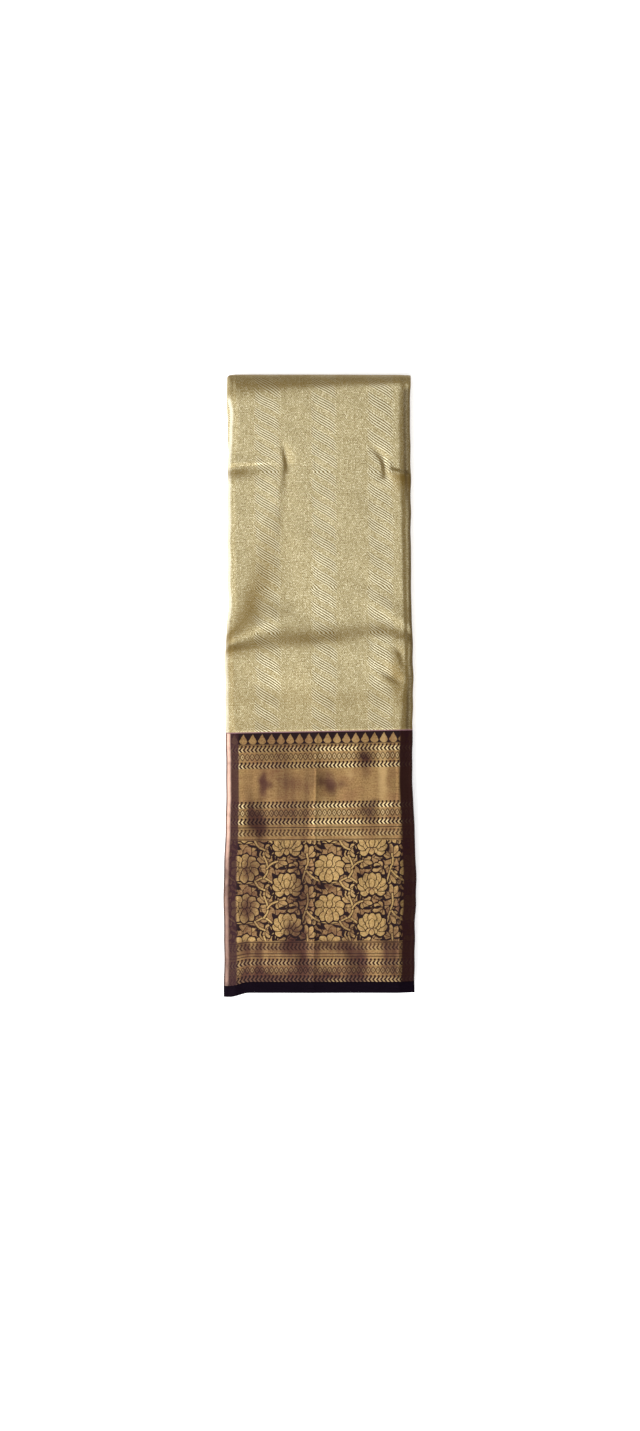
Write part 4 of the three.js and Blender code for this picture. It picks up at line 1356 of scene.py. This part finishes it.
# %% The hem's finish
def hem_material():
    """Two close shades by thread, nearly without shine."""
    material, shader, *_, ribs, shade = start_material("aubergine silk", 0.4)
    wire(mix(step(shade, 0.3, 0.7), srgb(8, 3, 10), srgb(20, 9, 22)), shader.inputs["Base Color"])
    shader.inputs["Roughness"].default_value = 0.7
    shader.inputs["Specular IOR Level"].default_value = 0.03
    finish_bump(shader, ribs, 0.3, 0.1 * MM)
    return material


aubergine = hem_material()

# %% [markdown]
# ## Tie everything to the model
#
# Each cloth stands for its solids, rides the pack's one body, and takes its material.

# %% Bodies and materials
PIECES = [
    (body, tissue, "body_silk", ["body_front", "body_back"]),
    (body_layers, tissue, "body_silk", ["body_layers"]),
    (border_front, gold_border, "border_silk", ["border_front"]),
    (border_back, gold_border, "border_silk", ["border_back"]),
    (border_layers_front, gold_border, "border_silk", ["border_layers_front"]),
    (border_layers_back, gold_border, "border_silk", ["border_layers_back"]),
    (hem_front, aubergine, "hem_silk", ["hem_front"]),
    (hem_back, aubergine, "hem_silk", ["hem_back"]),
    (leaves_front, aubergine, "hem_silk", [f"hem_leaf_front_{k}" for k in (1, 2, 3)]),
    (leaves_back, aubergine, "hem_silk", [f"hem_leaf_back_{k}" for k in (1, 2, 3)]),
]
for piece, material, slot, nodes in PIECES:
    piece.data.materials.append(material)
    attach(piece, "root")
    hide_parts(*nodes)

# %% [markdown]
# ## Floor and light
#
# The pack lies on a plain white floor, which glows faintly so that the pack's shadow stays light.
# One very broad light falls evenly from the lower left, so that slopes towards the top and the
# right go dark, as on a garment laid by a window. A long low light on the left catches the
# turned edge, a small soft one over the foot of the pack brings out the sheen of the gold, and
# a faint even light fills the rest.

# %% The floor
FLOOR_HALF = 3.0
FLOOR_Z = -0.3 * MM
floor_corners = [(FLOOR_HALF * x, FLOOR_HALF * y, FLOOR_Z) for x, y in ((-1, -1), (1, -1), (1, 1), (-1, 1))]
floor_mesh = bpy.data.meshes.new("floor")
floor_mesh.from_pydata(floor_corners, [], [(0, 1, 2, 3)])
floor = bpy.data.objects.new("floor", floor_mesh)
bpy.context.scene.collection.objects.link(floor)
paint = bpy.data.materials.new("pale floor")
paint.use_nodes = True
floor_shader = next(n for n in paint.node_tree.nodes if n.type == "BSDF_PRINCIPLED")
floor_shader.inputs["Base Color"].default_value = (0.93, 0.93, 0.93, 1)
floor_shader.inputs["Roughness"].default_value = 0.9
floor_shader.inputs["Emission Color"].default_value = (1, 1, 1, 1)
floor_shader.inputs["Emission Strength"].default_value = 0.55
floor_mesh.materials.append(paint)
print("floor is", 2 * FLOOR_HALF, "m wide")


# %% The lights
def aimed(lamp, at, aim):
    """Put a lamp in place and turn it to a point."""
    lamp.location = at
    way = np.array(aim) - np.array(at)
    lamp.rotation_euler = (math.atan2(math.hypot(way[0], way[1]), -way[2]), 0,
                           math.atan2(way[1], way[0]) - math.pi / 2)
    bpy.context.scene.collection.objects.link(lamp)


window_data = bpy.data.lights.new("window", "SUN")
window_data.energy = 3.3
window_data.angle = math.radians(70)
aimed(bpy.data.objects.new("window", window_data), (-0.9, -1.1, 1.7), (0, 0, 0))


def soft_light(name, at, aim, size, power):
    """An area light of two sides, turned to face a point."""
    data = bpy.data.lights.new(name, "AREA")
    data.shape = "RECTANGLE"
    data.size, data.size_y = size
    data.energy = power
    aimed(bpy.data.objects.new(name, data), at, aim)


soft_light("left side", (-1.8, -0.1, 0.55), (0, 0, 0), (2.2, 0.5), 11)
soft_light("foot", (-0.35, -1.1, 1.9), (0, -0.1, 0), (0.9, 0.6), 7)
print("lights:", sorted(light.name for light in bpy.data.lights))

world = bpy.data.worlds.new("world")
world.use_nodes = True
background = next(n for n in world.node_tree.nodes if n.type == "BACKGROUND")
background.inputs["Color"].default_value = (1, 1, 1, 1)
background.inputs["Strength"].default_value = 0.22
bpy.context.scene.world = world
bpy.context.scene.view_settings.view_transform = "Standard"
